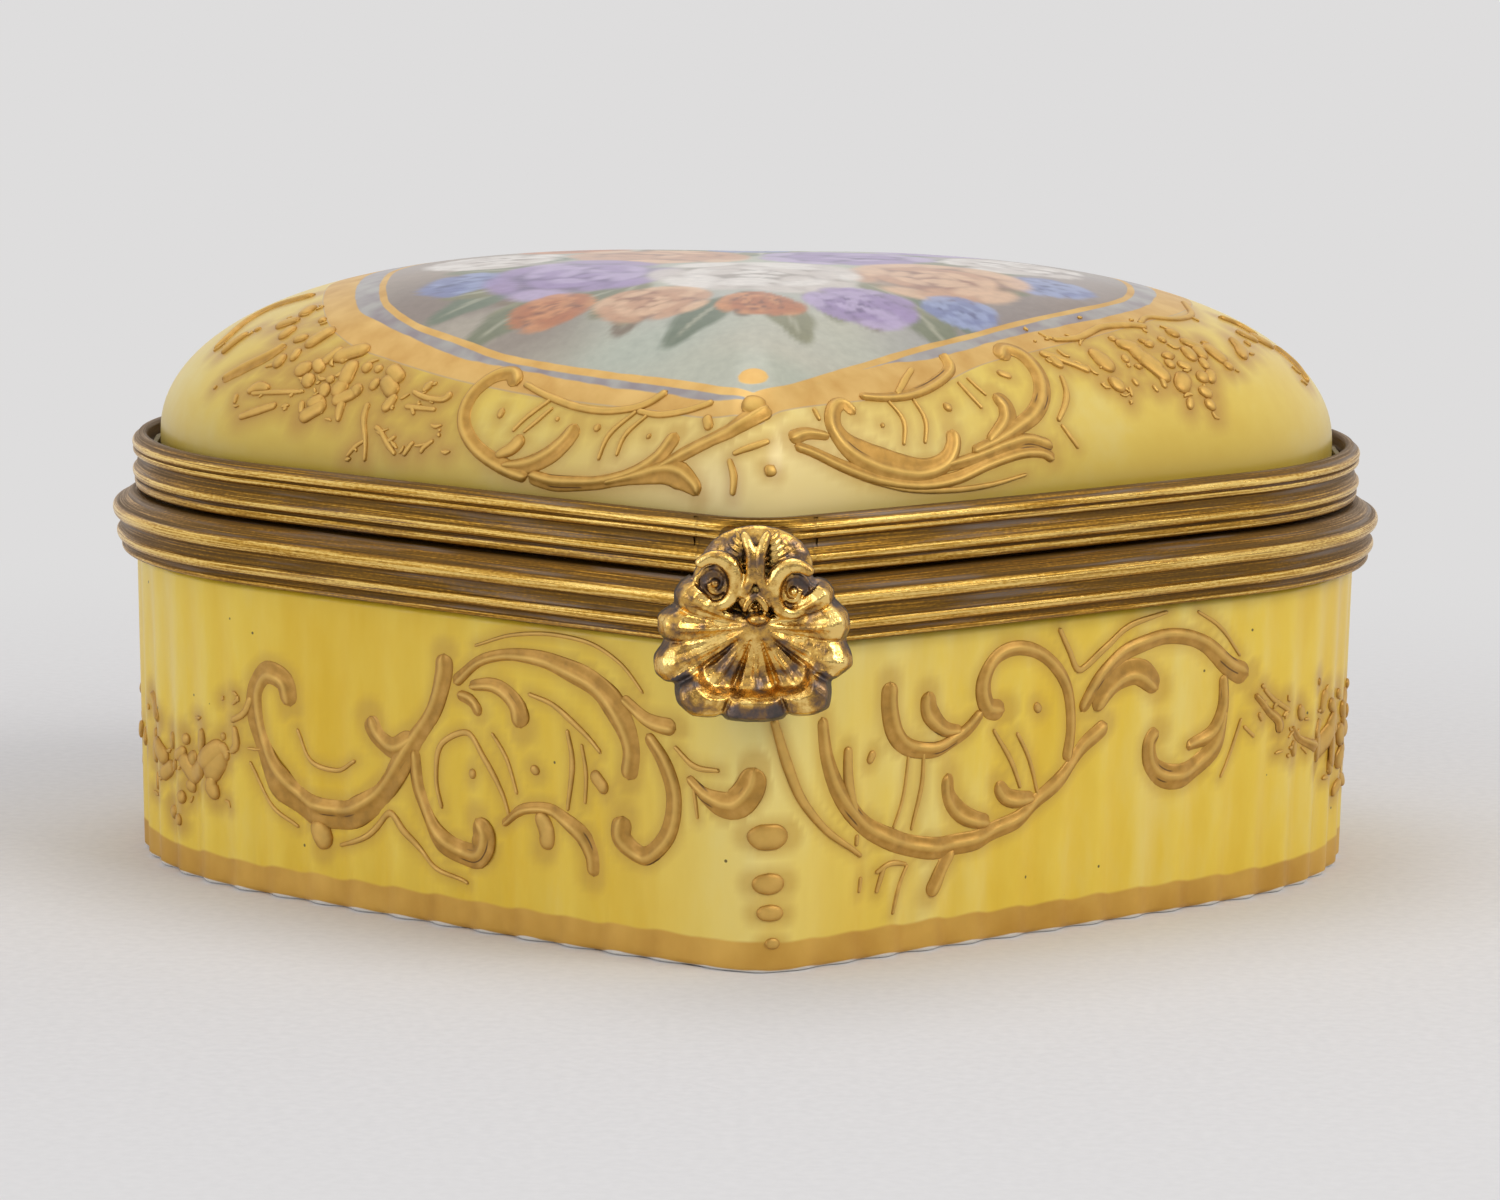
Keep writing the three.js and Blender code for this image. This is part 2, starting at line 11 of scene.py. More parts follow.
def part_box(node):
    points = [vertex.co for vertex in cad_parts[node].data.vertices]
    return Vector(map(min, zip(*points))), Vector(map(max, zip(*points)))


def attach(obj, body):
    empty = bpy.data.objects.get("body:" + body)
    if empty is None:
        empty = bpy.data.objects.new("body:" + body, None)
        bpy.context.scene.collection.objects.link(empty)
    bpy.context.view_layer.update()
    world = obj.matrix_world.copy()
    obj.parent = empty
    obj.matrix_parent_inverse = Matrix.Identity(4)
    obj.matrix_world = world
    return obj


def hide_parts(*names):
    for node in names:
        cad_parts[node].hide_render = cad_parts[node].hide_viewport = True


bl_info = {
    "name": "Heart-shaped porcelain box",
    "version": (1, 0, 0),
    "blender": (4, 5, 0),
    "location": "3D View > Sidebar > Heart box",
    "description": "Dresses a heart-shaped box with glazed porcelain, raised gilding and gilt brass mounts",
    "category": "Object",
}

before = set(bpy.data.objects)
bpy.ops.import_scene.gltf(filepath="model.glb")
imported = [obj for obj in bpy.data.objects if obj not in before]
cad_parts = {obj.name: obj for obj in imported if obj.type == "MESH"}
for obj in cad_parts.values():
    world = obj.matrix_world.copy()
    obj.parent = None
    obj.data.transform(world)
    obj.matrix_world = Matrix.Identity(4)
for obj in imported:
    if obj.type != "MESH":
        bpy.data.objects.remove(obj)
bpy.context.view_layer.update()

# Millimetres throughout, with the tip of the porcelain near y = 0; to_frame() turns them to metres
MM = 0.001
TIP_Y = 6.3
TIP_RADIUS = 5.0
COLLAR_PROUD = 1.85
TIP_FRONT = TIP_Y - TIP_RADIUS - COLLAR_PROUD
FRAME_SHIFT = TIP_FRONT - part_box("base_collar")[0].y / MM
# Heights of the mounts' lower and upper edges
BASE_LOW = 22.5
BASE_TOP = 26.8
LID_LOW = 27.1
LID_TOP = 31.0
# The dome draws in towards this point behind the tip, and is fuller than a round one
MIDDLE_Y = 40.0
FULLNESS = 3


def to_frame(points):
    """Metres in the shared frame from millimetres measured from the tip"""
    return (np.asarray(points, float) - (0, FRAME_SHIFT, 0)) * MM


def linear(code):
    """Linear RGBA of an sRGB hex colour"""
    channels = [int(code[i : i + 2], 16) / 255 for i in (1, 3, 5)]
    return (*[c / 12.92 if c <= 0.04045 else ((c + 0.055) / 1.055) ** 2.4 for c in channels], 1.0)


def number_prop(name, description, default, **settings):
    return bpy.props.FloatProperty(name=name, description=description, default=default, **settings)


def length_prop(name, description, millimetres):
    return number_prop(name, description, millimetres * MM, unit="LENGTH", precision=5)


def colour_prop(name, description, code):
    return bpy.props.FloatVectorProperty(
        name=name, description=description, default=linear(code), subtype="COLOR", size=4, min=0, max=1
    )


class HeartBoxSizes(bpy.types.PropertyGroup):
    """Sizes of the porcelain and of its ornament"""

    half_width: length_prop("Half width", "From the middle of the body to its widest point", 45)
    lobe_radius: length_prop("Lobe radius", "Radius of each lobe in plan", 27)
    lobe_y: length_prop("Lobe distance", "From the tip to the centres of the lobes", 48)
    flank_radius: length_prop("Flank radius", "Radius of the long, nearly straight flanks", 620)
    tip_radius: length_prop("Tip radius", "Radius of the rounded front corner", TIP_RADIUS)
    tip_y: length_prop("Tip centre", "Centre of the rounded front corner", TIP_Y)
    cleft_radius: length_prop("Cleft radius", "Radius of the hollow between the lobes", 4)
    flute_depth: length_prop("Flute depth", "Swell of each flute over the mean wall", 0.26)
    foot_taper: length_prop("Foot taper", "How far the wall draws in towards the foot", 0.66)
    dome_spring: length_prop("Dome spring", "Height where the lid starts to curve in", 31.2)
    dome_rise: length_prop("Dome rise", "Height of the dome over its spring", 13.3)
    lid_inset: length_prop("Lid inset", "How far the lid stands in from the body", 1.7)
    band_height: length_prop("Foot band", "Upper edge of the gilt band round the foot", 2.15)
    bead_height: length_prop("Bead height", "Height of the raised gilding over the glaze", 0.27)
    flutes: bpy.props.IntProperty(name="Flutes", description="Flutes on each half of the body", default=34)


class HeartBoxColours(bpy.types.PropertyGroup):
    """Colours of the enamel, gold and metal"""

    enamel: colour_prop("Enamel", "Yellow ground where it lies thick", "#E3BA24")
    enamel_mid: colour_prop("Enamel, middle", "Yellow ground over most of the box", "#ECCB48")
    enamel_pale: colour_prop("Enamel, pale", "Yellow ground where it thins out", "#EEDC8C")
    white: colour_prop("Porcelain", "Bare glazed porcelain inside and under the foot", "#E9E6DE")
    raised_gold: colour_prop("Raised gold", "Gold over raised paste", "#B88A3A")
    brass: colour_prop("Gilt brass", "Worn gilding of the mounts", "#D2A54C")
    # Darkest end of the mounts' ramp: real tarnish, and painted shade in the coves and on sloping faces
    tarnish: colour_prop("Tarnish", "Brown tarnish in the hollows of the mounts", "#5A4014")


class HeartBoxStage(bpy.types.PropertyGroup):
    """Camera and studio light"""

    lens: number_prop("Lens", "Focal length", 142.3, unit="CAMERA")
    distance: length_prop("Camera distance", "From the tip back to the camera", 388.4)
    height: length_prop("Camera height", "Above the table", 84.4)
    aside: length_prop("Camera aside", "To the left of the tip", 6.6)
    yaw: number_prop("Yaw", "Turn to the right", 0.016, unit="ROTATION")
    pitch: number_prop("Pitch", "Tilt down", 0.1499, unit="ROTATION")
    roll: number_prop("Roll", "Lean of the camera", 0.0115, unit="ROTATION")
    key: number_prop("Key light", "Share of full light", 0.38)
    fill: number_prop("Fill light", "Share of full light", 0.25)
    top: number_prop("Top light", "Share of full light", 0.26)
    room: number_prop("Room light", "Strength of the white room", 0.46)


class Heart:
    """A heart in plan: tip, flank, lobe and cleft arcs on each side, with the tip towards -Y"""

    SHARP = 0.3

    def __init__(self, half_width, lobe_radius, lobe_y, flank_radius, tip_radius, tip_y, cleft_radius):
        self.lobe = np.array([half_width - lobe_radius, lobe_y])
        self.lobe_radius, self.flank_radius = lobe_radius, flank_radius
        self.tip_radius, self.cleft_radius = tip_radius, cleft_radius
        tip = np.array([0.0, tip_y])
        from_tip = flank_radius - tip_radius
        span = np.linalg.norm(self.lobe - tip)
        along = (from_tip**2 - (flank_radius - lobe_radius) ** 2 + span**2) / (2 * span)
        aside = math.sqrt(from_tip**2 - along**2)
        out = (self.lobe - tip) / span
        self.flank = tip + out * along + np.array([-out[1], out[0]]) * aside
        self.ends = np.concatenate([[0], np.cumsum([r * abs(b - a) for _, _, r, a, b, _ in self.arcs()])])
        self.half_length = self.ends[-1]

    def arcs(self, offset=0.0):
        """Centre, radius, start and end angle and outward sense of each arc, offset outwards"""
        tip_radius = max(self.tip_radius + offset, self.SHARP)
        reach = self.flank_radius + offset - tip_radius
        tip = np.array([0.0, self.flank[1] - math.sqrt(reach**2 - self.flank[0] ** 2)])
        cleft_radius = max(self.cleft_radius - offset, self.SHARP)
        reach = self.lobe_radius + offset + cleft_radius
        cleft = np.array([0.0, self.lobe[1] + math.sqrt(reach**2 - self.lobe[0] ** 2)])
        tip_end = math.atan2(*(tip - self.flank)[::-1])
        flank_end = math.atan2(*(self.lobe - self.flank)[::-1])
        lobe_end = math.atan2(*(cleft - self.lobe)[::-1])
        down = -math.pi / 2
        return [
            (*tip, tip_radius, down, tip_end, 1),
            (*self.flank, self.flank_radius + offset, tip_end, flank_end, 1),
            (*self.lobe, self.lobe_radius + offset, flank_end, lobe_end, 1),
            (*cleft, cleft_radius, lobe_end - math.pi, down, -1),
        ]

    def points(self, s, offset=0.0, push=0.0):
        """Plan points at distances s round from the tip, to the right where s is positive"""
        s = np.asarray(s, float)
        away = np.minimum(np.abs(s), self.half_length)
        arc = np.clip(np.searchsorted(self.ends, away, side="right") - 1, 0, 3)
        share = (away - self.ends[arc]) / (self.ends[arc + 1] - self.ends[arc])
        cx, cy, radius, start, end, out = np.array(self.arcs(offset))[arc].T
        angle = start + (end - start) * share
        reach = radius + out * push
        x = cx + reach * np.cos(angle)
        return np.stack([np.where(s < 0, -x, x), cy + reach * np.sin(angle)], -1)

    def stations(self, step, fine):
        """Distances of a closed ring of points, closer together at the front corner"""
        corner = 4.0
        far = np.linspace(corner, self.half_length, round((self.half_length - corner) / step) + 1)
        right = np.concatenate([np.arange(0, corner, fine), far])
        return np.concatenate([right, -right[1:-1][::-1]])


def mm(value):
    return value / MM


def body_heart():
    size = bpy.context.scene.heart_box_sizes
    return Heart(*[mm(v) for v in (size.half_width, size.lobe_radius, size.lobe_y, size.flank_radius,
                                   size.tip_radius, size.tip_y, size.cleft_radius)])


def smooth(control, per_span=14):
    """Points along a smooth curve through control points"""
    control = np.array(control, float)
    ends = np.vstack([2 * control[0] - control[1], control, 2 * control[-1] - control[-2]])
    t = np.linspace(0, 1, per_span, endpoint=False)[:, None]
    spans = [0.5 * (2 * b + (c - a) * t + (2 * a - 5 * b + 4 * c - d) * t**2 + (3 * b - a - 3 * c + d) * t**3)
             for a, b, c, d in zip(ends, ends[1:], ends[2:], ends[3:])]
    return np.vstack([*spans, control[-1:]])


# Outlines of the painted panel in plan, from its point round by the right: the frame's outer edge,
# the frame's inner edge, and the thin gold thread. The hand that drew them was not quite even.
PANEL_EDGE = [
    (0.3, 5.3), (3, 7.6), (7.8, 11.3), (11.7, 14.5), (16, 19.7), (20, 23.8), (24.7, 28.8), (28.4, 33.4),
    (31.2, 38.5), (32.6, 45), (31.7, 52), (28, 58.5), (21.5, 63.2), (14, 64.6), (6.5, 62.3), (0.5, 57.5),
    (-6, 62), (-14, 64), (-21.5, 61.5), (-27.3, 56), (-30.4, 49), (-31, 41), (-30.3, 33.8), (-28.6, 29.7),
    (-25.5, 26), (-21.2, 21.6), (-16.5, 17.4), (-12.2, 13.9), (-7.1, 10), (-3.1, 7), (0.3, 5.3)
]
FRAME_INSIDE = [
    (-0.3, 6.8), (2, 8.3), (4.7, 10.9), (6.5, 12.8), (9, 15.2), (12.2, 17.8), (14.3, 20), (18, 24.1),
    (22.2, 28.5), (25, 31.5), (27.3, 34.6), (28.9, 38.2), (29.8, 44.5), (29, 51.5), (25.6, 57), (20, 60.6),
    (13.8, 61.7), (7.5, 59.6), (0.3, 54), (-7, 59), (-13.8, 61), (-19.8, 58.9), (-25, 54), (-27.8, 48),
    (-28.5, 41), (-28.3, 35.5), (-27.5, 32.6), (-25.2, 28.9), (-21.1, 23.6), (-16.8, 19.5), (-12.3, 15.5),
    (-8.8, 12.6), (-5.8, 10.3), (-3.2, 8.2), (-0.3, 6.8)
]
GOLD_THREAD = [
    (-0.2, 7.1), (2, 8.4), (4.7, 11.1), (6.5, 13), (8.2, 14.8), (10, 16.8), (11.8, 18.8), (14.8, 22),
    (17.4, 25), (21, 29.1), (23, 31.3), (25, 33.7), (26.7, 36.6), (27.6, 40), (27.8, 45), (26.9, 51),
    (23.8, 55.4), (19, 58.4), (13.6, 59.2), (8, 57.2), (0.2, 51.5), (-7.5, 56.7), (-13.6, 58.6),
    (-18.8, 56.6), (-23.3, 52.4), (-25.8, 47), (-26.5, 40.5), (-26.4, 36), (-25.8, 32.6), (-23.7, 28.5),
    (-20.4, 24.4), (-17.5, 21), (-14, 17.8), (-10.5, 14.9), (-6.8, 12), (-4, 9.8), (-2, 8.2), (-0.2, 7.1)
]


def nearest(places, points):
    """Index of the place nearest to each point, and how far off it is"""
    tree = kdtree.KDTree(len(places))
    for i, place in enumerate(places):
        tree.insert(place, i)
    tree.balance()
    found = [tree.find(point) for point in points]
    return [i for _, i, _ in found], np.array([away for _, _, away in found])


def depth_inside(xy, outline):
    """Distance of each point from a closed outline, positive inside it"""
    rim = smooth(outline, 24)[:-1]
    step = np.roll(rim, -1, 0) - np.roll(rim, 1, 0)
    outward = np.stack([step[:, 1], -step[:, 0]], -1)
    outward /= np.linalg.norm(outward, axis=1)[:, None]
    near, away = nearest([(x, y, 0) for x, y in rim], [(x, y, 0) for x, y in xy])
    square = np.einsum("ij,ij->i", rim[near] - xy, outward[near])
    return np.where(away < 0.6, square, np.sign(square) * away)


def skin(rings, joined=False):
    """Points and faces over rings of equal count: joined into a loop, or capped at both ends"""
    count, total = len(rings[0]), len(rings)
    here = np.arange(count)
    after = (here + 1) % count
    faces = []
    for low in range(total if joined else total - 1):
        high = (low + 1) % total
        band = [low * count + here, low * count + after, high * count + after, high * count + here]
        faces += np.stack(band, 1).tolist()
    points = np.concatenate(rings)
    if not joined:
        middles = np.stack([np.mean(rings[0], 0), np.mean(rings[-1], 0)])
        first, last = total * count, (total - 1) * count
        faces += [(first, int(b), int(a)) for a, b in zip(here, after)]
        faces += [(first + 1, last + int(a), last + int(b)) for a, b in zip(here, after)]
        points = np.concatenate([points, middles])
    return points, faces


def joined_nets(nets):
    """One net from several (points, faces, values) nets"""
    points, faces, values, start = [], [], {}, 0
    for net_points, net_faces, net_values in nets:
        points.append(net_points)
        faces += [[i + start for i in face] for face in net_faces]
        for name, numbers in net_values.items():
            values.setdefault(name, []).append(numbers)
        start += len(net_points)
    return np.concatenate(points), faces, {name: np.concatenate(parts) for name, parts in values.items()}


def make_piece(name, points, faces, body, material, values=None, colours=None):
    """A smooth-shaded mesh in its place, which moves with a body of the frame"""
    mesh = bpy.data.meshes.new(name)
    mesh.from_pydata(to_frame(points).tolist(), [], faces)
    mesh.shade_smooth()
    for attribute, numbers in (values or {}).items():
        mesh.attributes.new(attribute, "FLOAT", "POINT").data.foreach_set("value", np.asarray(numbers, float))
    for attribute, rgb in (colours or {}).items():
        rgba = np.concatenate([rgb, np.ones((len(rgb), 1))], 1)
        mesh.attributes.new(attribute, "FLOAT_COLOR", "POINT").data.foreach_set("color", rgba.ravel())
    mesh.materials.append(material)
    piece = bpy.data.objects.new(name, mesh)
    bpy.context.scene.collection.objects.link(piece)
    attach(piece, body)
    return piece


def add(tree, kind, inputs=None, stops=None, **settings):
    """Adds a node with its settings. Each input is a value, a hex colour, a socket, or a node, which then
    gives its first output that is in use."""
    node = tree.nodes.new("ShaderNode" + kind)
    for name, value in settings.items():
        setattr(node, name, value)
    for socket, value in (inputs or {}).items():
        if isinstance(value, bpy.types.Node):
            value = next(output for output in value.outputs if output.enabled)
        if isinstance(value, bpy.types.NodeSocket):
            tree.links.new(value, node.inputs[socket])
        else:
            node.inputs[socket].default_value = linear(value) if isinstance(value, str) else value
    for i, (place, colour) in enumerate(stops or []):
        stop = node.color_ramp.elements[i] if i < 2 else node.color_ramp.elements.new(place)
        stop.position, stop.color = place, linear(colour) if isinstance(colour, str) else colour
    return node


def new_material(name):
    """A bare material, its node tree and its place in object space"""
    material = bpy.data.materials.new(name)
    material.use_nodes = True
    tree = material.node_tree
    tree.nodes.clear()
    return material, tree, add(tree, "TexCoord").outputs["Object"]


def per_size(millimetres):
    """Texture scale that gives a pattern this size, in object space"""
    return 1 / (millimetres * MM)


def enamel_ground(tree, place, size, streak):
    """Yellow enamel brushed over the glaze: cloudy in patches of this size, thin and pale in places.
    streak below 1 draws the brush marks out up the wall."""
    colours = bpy.context.scene.heart_box_colours
    along = add(tree, "Mapping", {"Vector": place, "Scale": (1, 1, streak)})
    cloud = add(tree, "TexNoise", {"Vector": along, "Scale": per_size(size), "Detail": 2.0})
    brush = add(tree, "TexNoise", {"Vector": along, "Scale": per_size(1.4), "Detail": 3.0})
    both = add(tree, "Mix", {0: 0.25, 2: cloud, 3: brush})
    ground = add(tree, "ValToRGB", {0: both}, stops=[
        (0.32, colours.enamel), (0.78, colours.enamel_pale), (0.52, colours.enamel_mid)])
    return cloud, ground


def glaze_over(material, place, cloud, colour, gilt, gold, gloss, peel, swell):
    """Ends a porcelain with its glaze: a satin gloss between two roughnesses, and a faint orange-peel swell
    with this many millimetres to a wave. Gilt parts have a metallic share and a roughness of their own."""
    tree = material.node_tree
    metal = add(tree, "Math", {0: gilt, 1: gold[0]}, operation="MULTIPLY")
    satin = add(tree, "MapRange", {"Value": cloud, "To Min": gloss[0], "To Max": gloss[1]})
    rough = add(tree, "Mix", {0: gilt, 2: satin, 3: gold[1]})
    ripple = add(tree, "TexNoise", {"Vector": place, "Scale": per_size(peel), "Detail": 1.0})
    bump = add(tree, "Bump", {"Strength": swell, "Distance": 0.03 * MM, "Height": ripple})
    add(tree, "OutputMaterial", {"Surface": add(tree, "BsdfPrincipled", {
        "Base Color": colour, "Metallic": metal, "Roughness": rough, "IOR": 1.5, "Normal": bump})})
    return material


def glazed_body_porcelain():
    """Hard-paste porcelain, moulded with soft flutes, enamelled yellow and glazed, gilt round the foot.
    The eye sees a satin gloss, painted shade a little darker in the hollows of the flutes, and a matt
    honey-coloured band."""
    size, colours = bpy.context.scene.heart_box_sizes, bpy.context.scene.heart_box_colours
    material, tree, place = new_material("glazed_porcelain_body")
    cloud, ground = enamel_ground(tree, place, 11.0, 0.3)
    up, flute, pale, stain, plain = (
        add(tree, "Attribute", attribute_name=name).outputs["Fac"]
        for name in ("up", "flute", "pale", "stain", "plain"))
    # Painted shade deepens the colour between the flutes, and the enamel is thinner by the front corner
    flute_shade = add(tree, "MapRange", {"Value": flute, "From Min": 1.0, "From Max": -1.0, "To Max": 0.3})
    # Specks of kiln dust, about a fifth of a millimetre across
    grit = add(tree, "TexVoronoi", {"Vector": place, "Scale": per_size(3.0)})
    speck = add(tree, "MapRange", {"Value": grit, "From Min": 0.045, "From Max": 0.03},
                interpolation_type="SMOOTHSTEP")
    # Gold bleeds a warm ochre rim into the glaze round each raised stroke
    for share, coat in ((flute_shade, colours.enamel), (pale, colours.enamel_pale), (stain, "#C4993A"),
                        (speck, "#6B5A20")):
        ground = add(tree, "Mix", {0: share, 6: ground, 7: coat}, data_type="RGBA")
    # Brushed gold band with an uneven upper edge over a thin white foot
    wander = add(tree, "TexNoise", {"Vector": place, "Scale": per_size(3.5), "Detail": 2.0})
    edge = add(tree, "Math", {0: wander, 1: 0.3, 2: up}, operation="MULTIPLY_ADD")
    edge = add(tree, "Math", {0: flute, 1: -0.14, 2: edge}, operation="MULTIPLY_ADD")
    top = mm(size.band_height) + 0.15
    band = add(tree, "MapRange", {"Value": edge, "From Min": top + 0.16, "From Max": top - 0.1},
               interpolation_type="SMOOTHSTEP")
    wear = add(tree, "TexNoise", {"Vector": place, "Scale": per_size(5.0), "Detail": 5.0})
    gold = add(tree, "ValToRGB", {0: wear}, stops=[(0.3, "#C6963C"), (0.7, "#DDB052")])
    foot = add(tree, "MapRange", {"Value": edge, "From Min": 0.42, "From Max": 0.3},
               interpolation_type="SMOOTHSTEP")
    bare = add(tree, "Math", {0: foot, 1: plain}, operation="MAXIMUM")
    colour = ground
    for share, coat in ((band, gold), (bare, colours.white)):
        colour = add(tree, "Mix", {0: share, 6: colour, 7: coat}, data_type="RGBA")
    gilt = add(tree, "Math", {0: band, 1: bare}, operation="SUBTRACT", use_clamp=True)
    return glaze_over(material, place, cloud, colour, gilt, (0.35, 0.46), (0.26, 0.42), 1.5, 0.35)


def glazed_lid_porcelain():
    """The same glazed porcelain, with a heart-shaped panel painted in soft enamels and framed in flat gold"""
    colours = bpy.context.scene.heart_box_colours
    material, tree, place = new_material("glazed_porcelain_lid")
    cloud, ground = enamel_ground(tree, place, 12.0, 1.0)
    pale, stain, plain, edge, line, frame_mm = (
        add(tree, "Attribute", attribute_name=name).outputs["Fac"]
        for name in ("pale", "stain", "plain", "edge_mm", "line_mm", "frame_mm"))
    picture = add(tree, "Attribute", attribute_name="painting").outputs["Color"]
    # Painted shade deepens the colour low on the dome, over the mount
    height = add(tree, "SeparateXYZ", {0: place}).outputs["Z"]
    rim_shade = add(tree, "MapRange", {"Value": height, "From Min": 36.5 * MM, "From Max": 31 * MM,
                                      "To Max": 0.4}, interpolation_type="SMOOTHSTEP")
    # The lid took a thinner, quieter coat than the body, stained by the gold, and pale by the front corner,
    # partly from thinner enamel and partly as a painted highlight
    for share, coat in ((0.42, "#CDB464"), (rim_shade, "#B8983A"), (pale, "#F6DF9C"), (stain, "#C0943F")):
        ground = add(tree, "Mix", {0: share, 6: ground, 7: coat}, data_type="RGBA")
    # Painting starts a little inside the gold frame; its enamels are stippled at a third of a millimetre
    stipple = add(tree, "TexNoise", {"Vector": place, "Scale": per_size(0.7), "Detail": 3.0})
    shade = add(tree, "MapRange", {"Value": stipple, "To Min": 0.82, "To Max": 1.14})
    picture = add(tree, "Mix", {0: 1.0, 6: picture, 7: shade}, data_type="RGBA", blend_type="MULTIPLY")
    inside = add(tree, "MapRange", {"Value": edge, "From Min": 0.0, "From Max": 0.12})
    uneven = add(tree, "TexNoise", {"Vector": place, "Scale": per_size(2.2), "Detail": 2.0})
    inner = add(tree, "Math", {0: uneven, 1: 0.3, 2: frame_mm}, operation="MULTIPLY_ADD")
    band = add(tree, "MapRange", {"Value": inner, "From Min": 0.2, "From Max": 0.1})
    band = add(tree, "Math", {0: band, 1: inside}, operation="MULTIPLY")
    off = add(tree, "Math", {0: line}, operation="ABSOLUTE")
    off = add(tree, "Math", {0: uneven, 1: 0.16, 2: off}, operation="MULTIPLY_ADD")
    thread = add(tree, "MapRange", {"Value": off, "From Min": 0.38, "From Max": 0.3})
    # A greyed blue wash fills the strip between the frame and the thread
    strip = add(tree, "MapRange", {"Value": line, "From Min": 0.05, "From Max": -0.05})
    strip = add(tree, "Math", {0: strip, 1: inside}, operation="MULTIPLY")
    wash = add(tree, "ValToRGB", {0: uneven}, stops=[(0.35, "#8E8284"), (0.65, "#A8A49E")])
    drop = add(tree, "Attribute", attribute_name="drop_mm").outputs["Fac"]
    drop = add(tree, "MapRange", {"Value": drop, "From Min": 0.08, "From Max": -0.08})
    gilt = add(tree, "Math", {0: band, 1: thread}, operation="MAXIMUM")
    gilt = add(tree, "Math", {0: gilt, 1: drop}, operation="MAXIMUM")
    wear = add(tree, "TexNoise", {"Vector": place, "Scale": per_size(2.6), "Detail": 3.0})
    gold = add(tree, "ValToRGB", {0: wear}, stops=[(0.3, "#C99A4E"), (0.7, "#DCB46A")])
    colour = ground
    for share, coat in ((inside, picture), (strip, wash), (gilt, gold), (plain, colours.white)):
        colour = add(tree, "Mix", {0: share, 6: colour, 7: coat}, data_type="RGBA")
    gilt = add(tree, "Math", {0: gilt, 1: plain}, operation="SUBTRACT", use_clamp=True)
    return glaze_over(material, place, cloud, colour, gilt, (0.45, 0.44), (0.24, 0.4), 1.8, 0.3)


def raised_paste_gilding():
    """Gold fired over raised paste: a satin tan gold with a painted highlight along the ridges, hair-cracked
    beside them
    """
    colours = bpy.context.scene.heart_box_colours
    material, tree, place = new_material("raised_paste_gilding")
    ridge, across = (
        add(tree, "Attribute", attribute_name=name).outputs["Fac"] for name in ("ridge", "across"))
    wear = add(tree, "TexNoise", {"Vector": place, "Scale": per_size(0.9), "Detail": 5.0})
    gold = add(tree, "ValToRGB", {0: wear}, stops=[
        (0.28, "#A57B32"), (0.75, "#C99B4C"), (0.5, colours.raised_gold)])
    # Painted highlight: the gold pales towards the top of each bead
    bright = add(tree, "MapRange", {"Value": ridge, "From Min": 0.55, "From Max": 1.0, "To Max": 0.5},
                 interpolation_type="SMOOTHSTEP")
    # Shrinkage cracks run beside the ridge in places
    beside = add(tree, "Math", {0: across, 1: 0.42}, operation="SUBTRACT")
    beside = add(tree, "Math", {0: beside}, operation="ABSOLUTE")
    near = add(tree, "MapRange", {"Value": beside, "From Min": 0.07, "From Max": 0.03})
    patch = add(tree, "TexNoise", {"Vector": place, "Scale": per_size(4.0), "Detail": 1.0})
    patch = add(tree, "MapRange", {"Value": patch, "From Min": 0.62, "From Max": 0.66})
    crack = add(tree, "Math", {0: near, 1: patch}, operation="MULTIPLY")
    for share, coat in ((bright, "#E8C066"), (crack, "#6E4E22")):
        gold = add(tree, "Mix", {0: share, 6: gold, 7: coat}, data_type="RGBA")
    rough = add(tree, "MapRange", {"Value": wear, "To Min": 0.38, "To Max": 0.54})
    bump = add(tree, "Bump", {"Strength": 0.5, "Distance": 0.04 * MM, "Height": wear})
    add(tree, "OutputMaterial", {"Surface": add(tree, "BsdfPrincipled", {
        "Base Color": gold, "Metallic": 0.45, "Roughness": rough, "Normal": bump})})
    return material


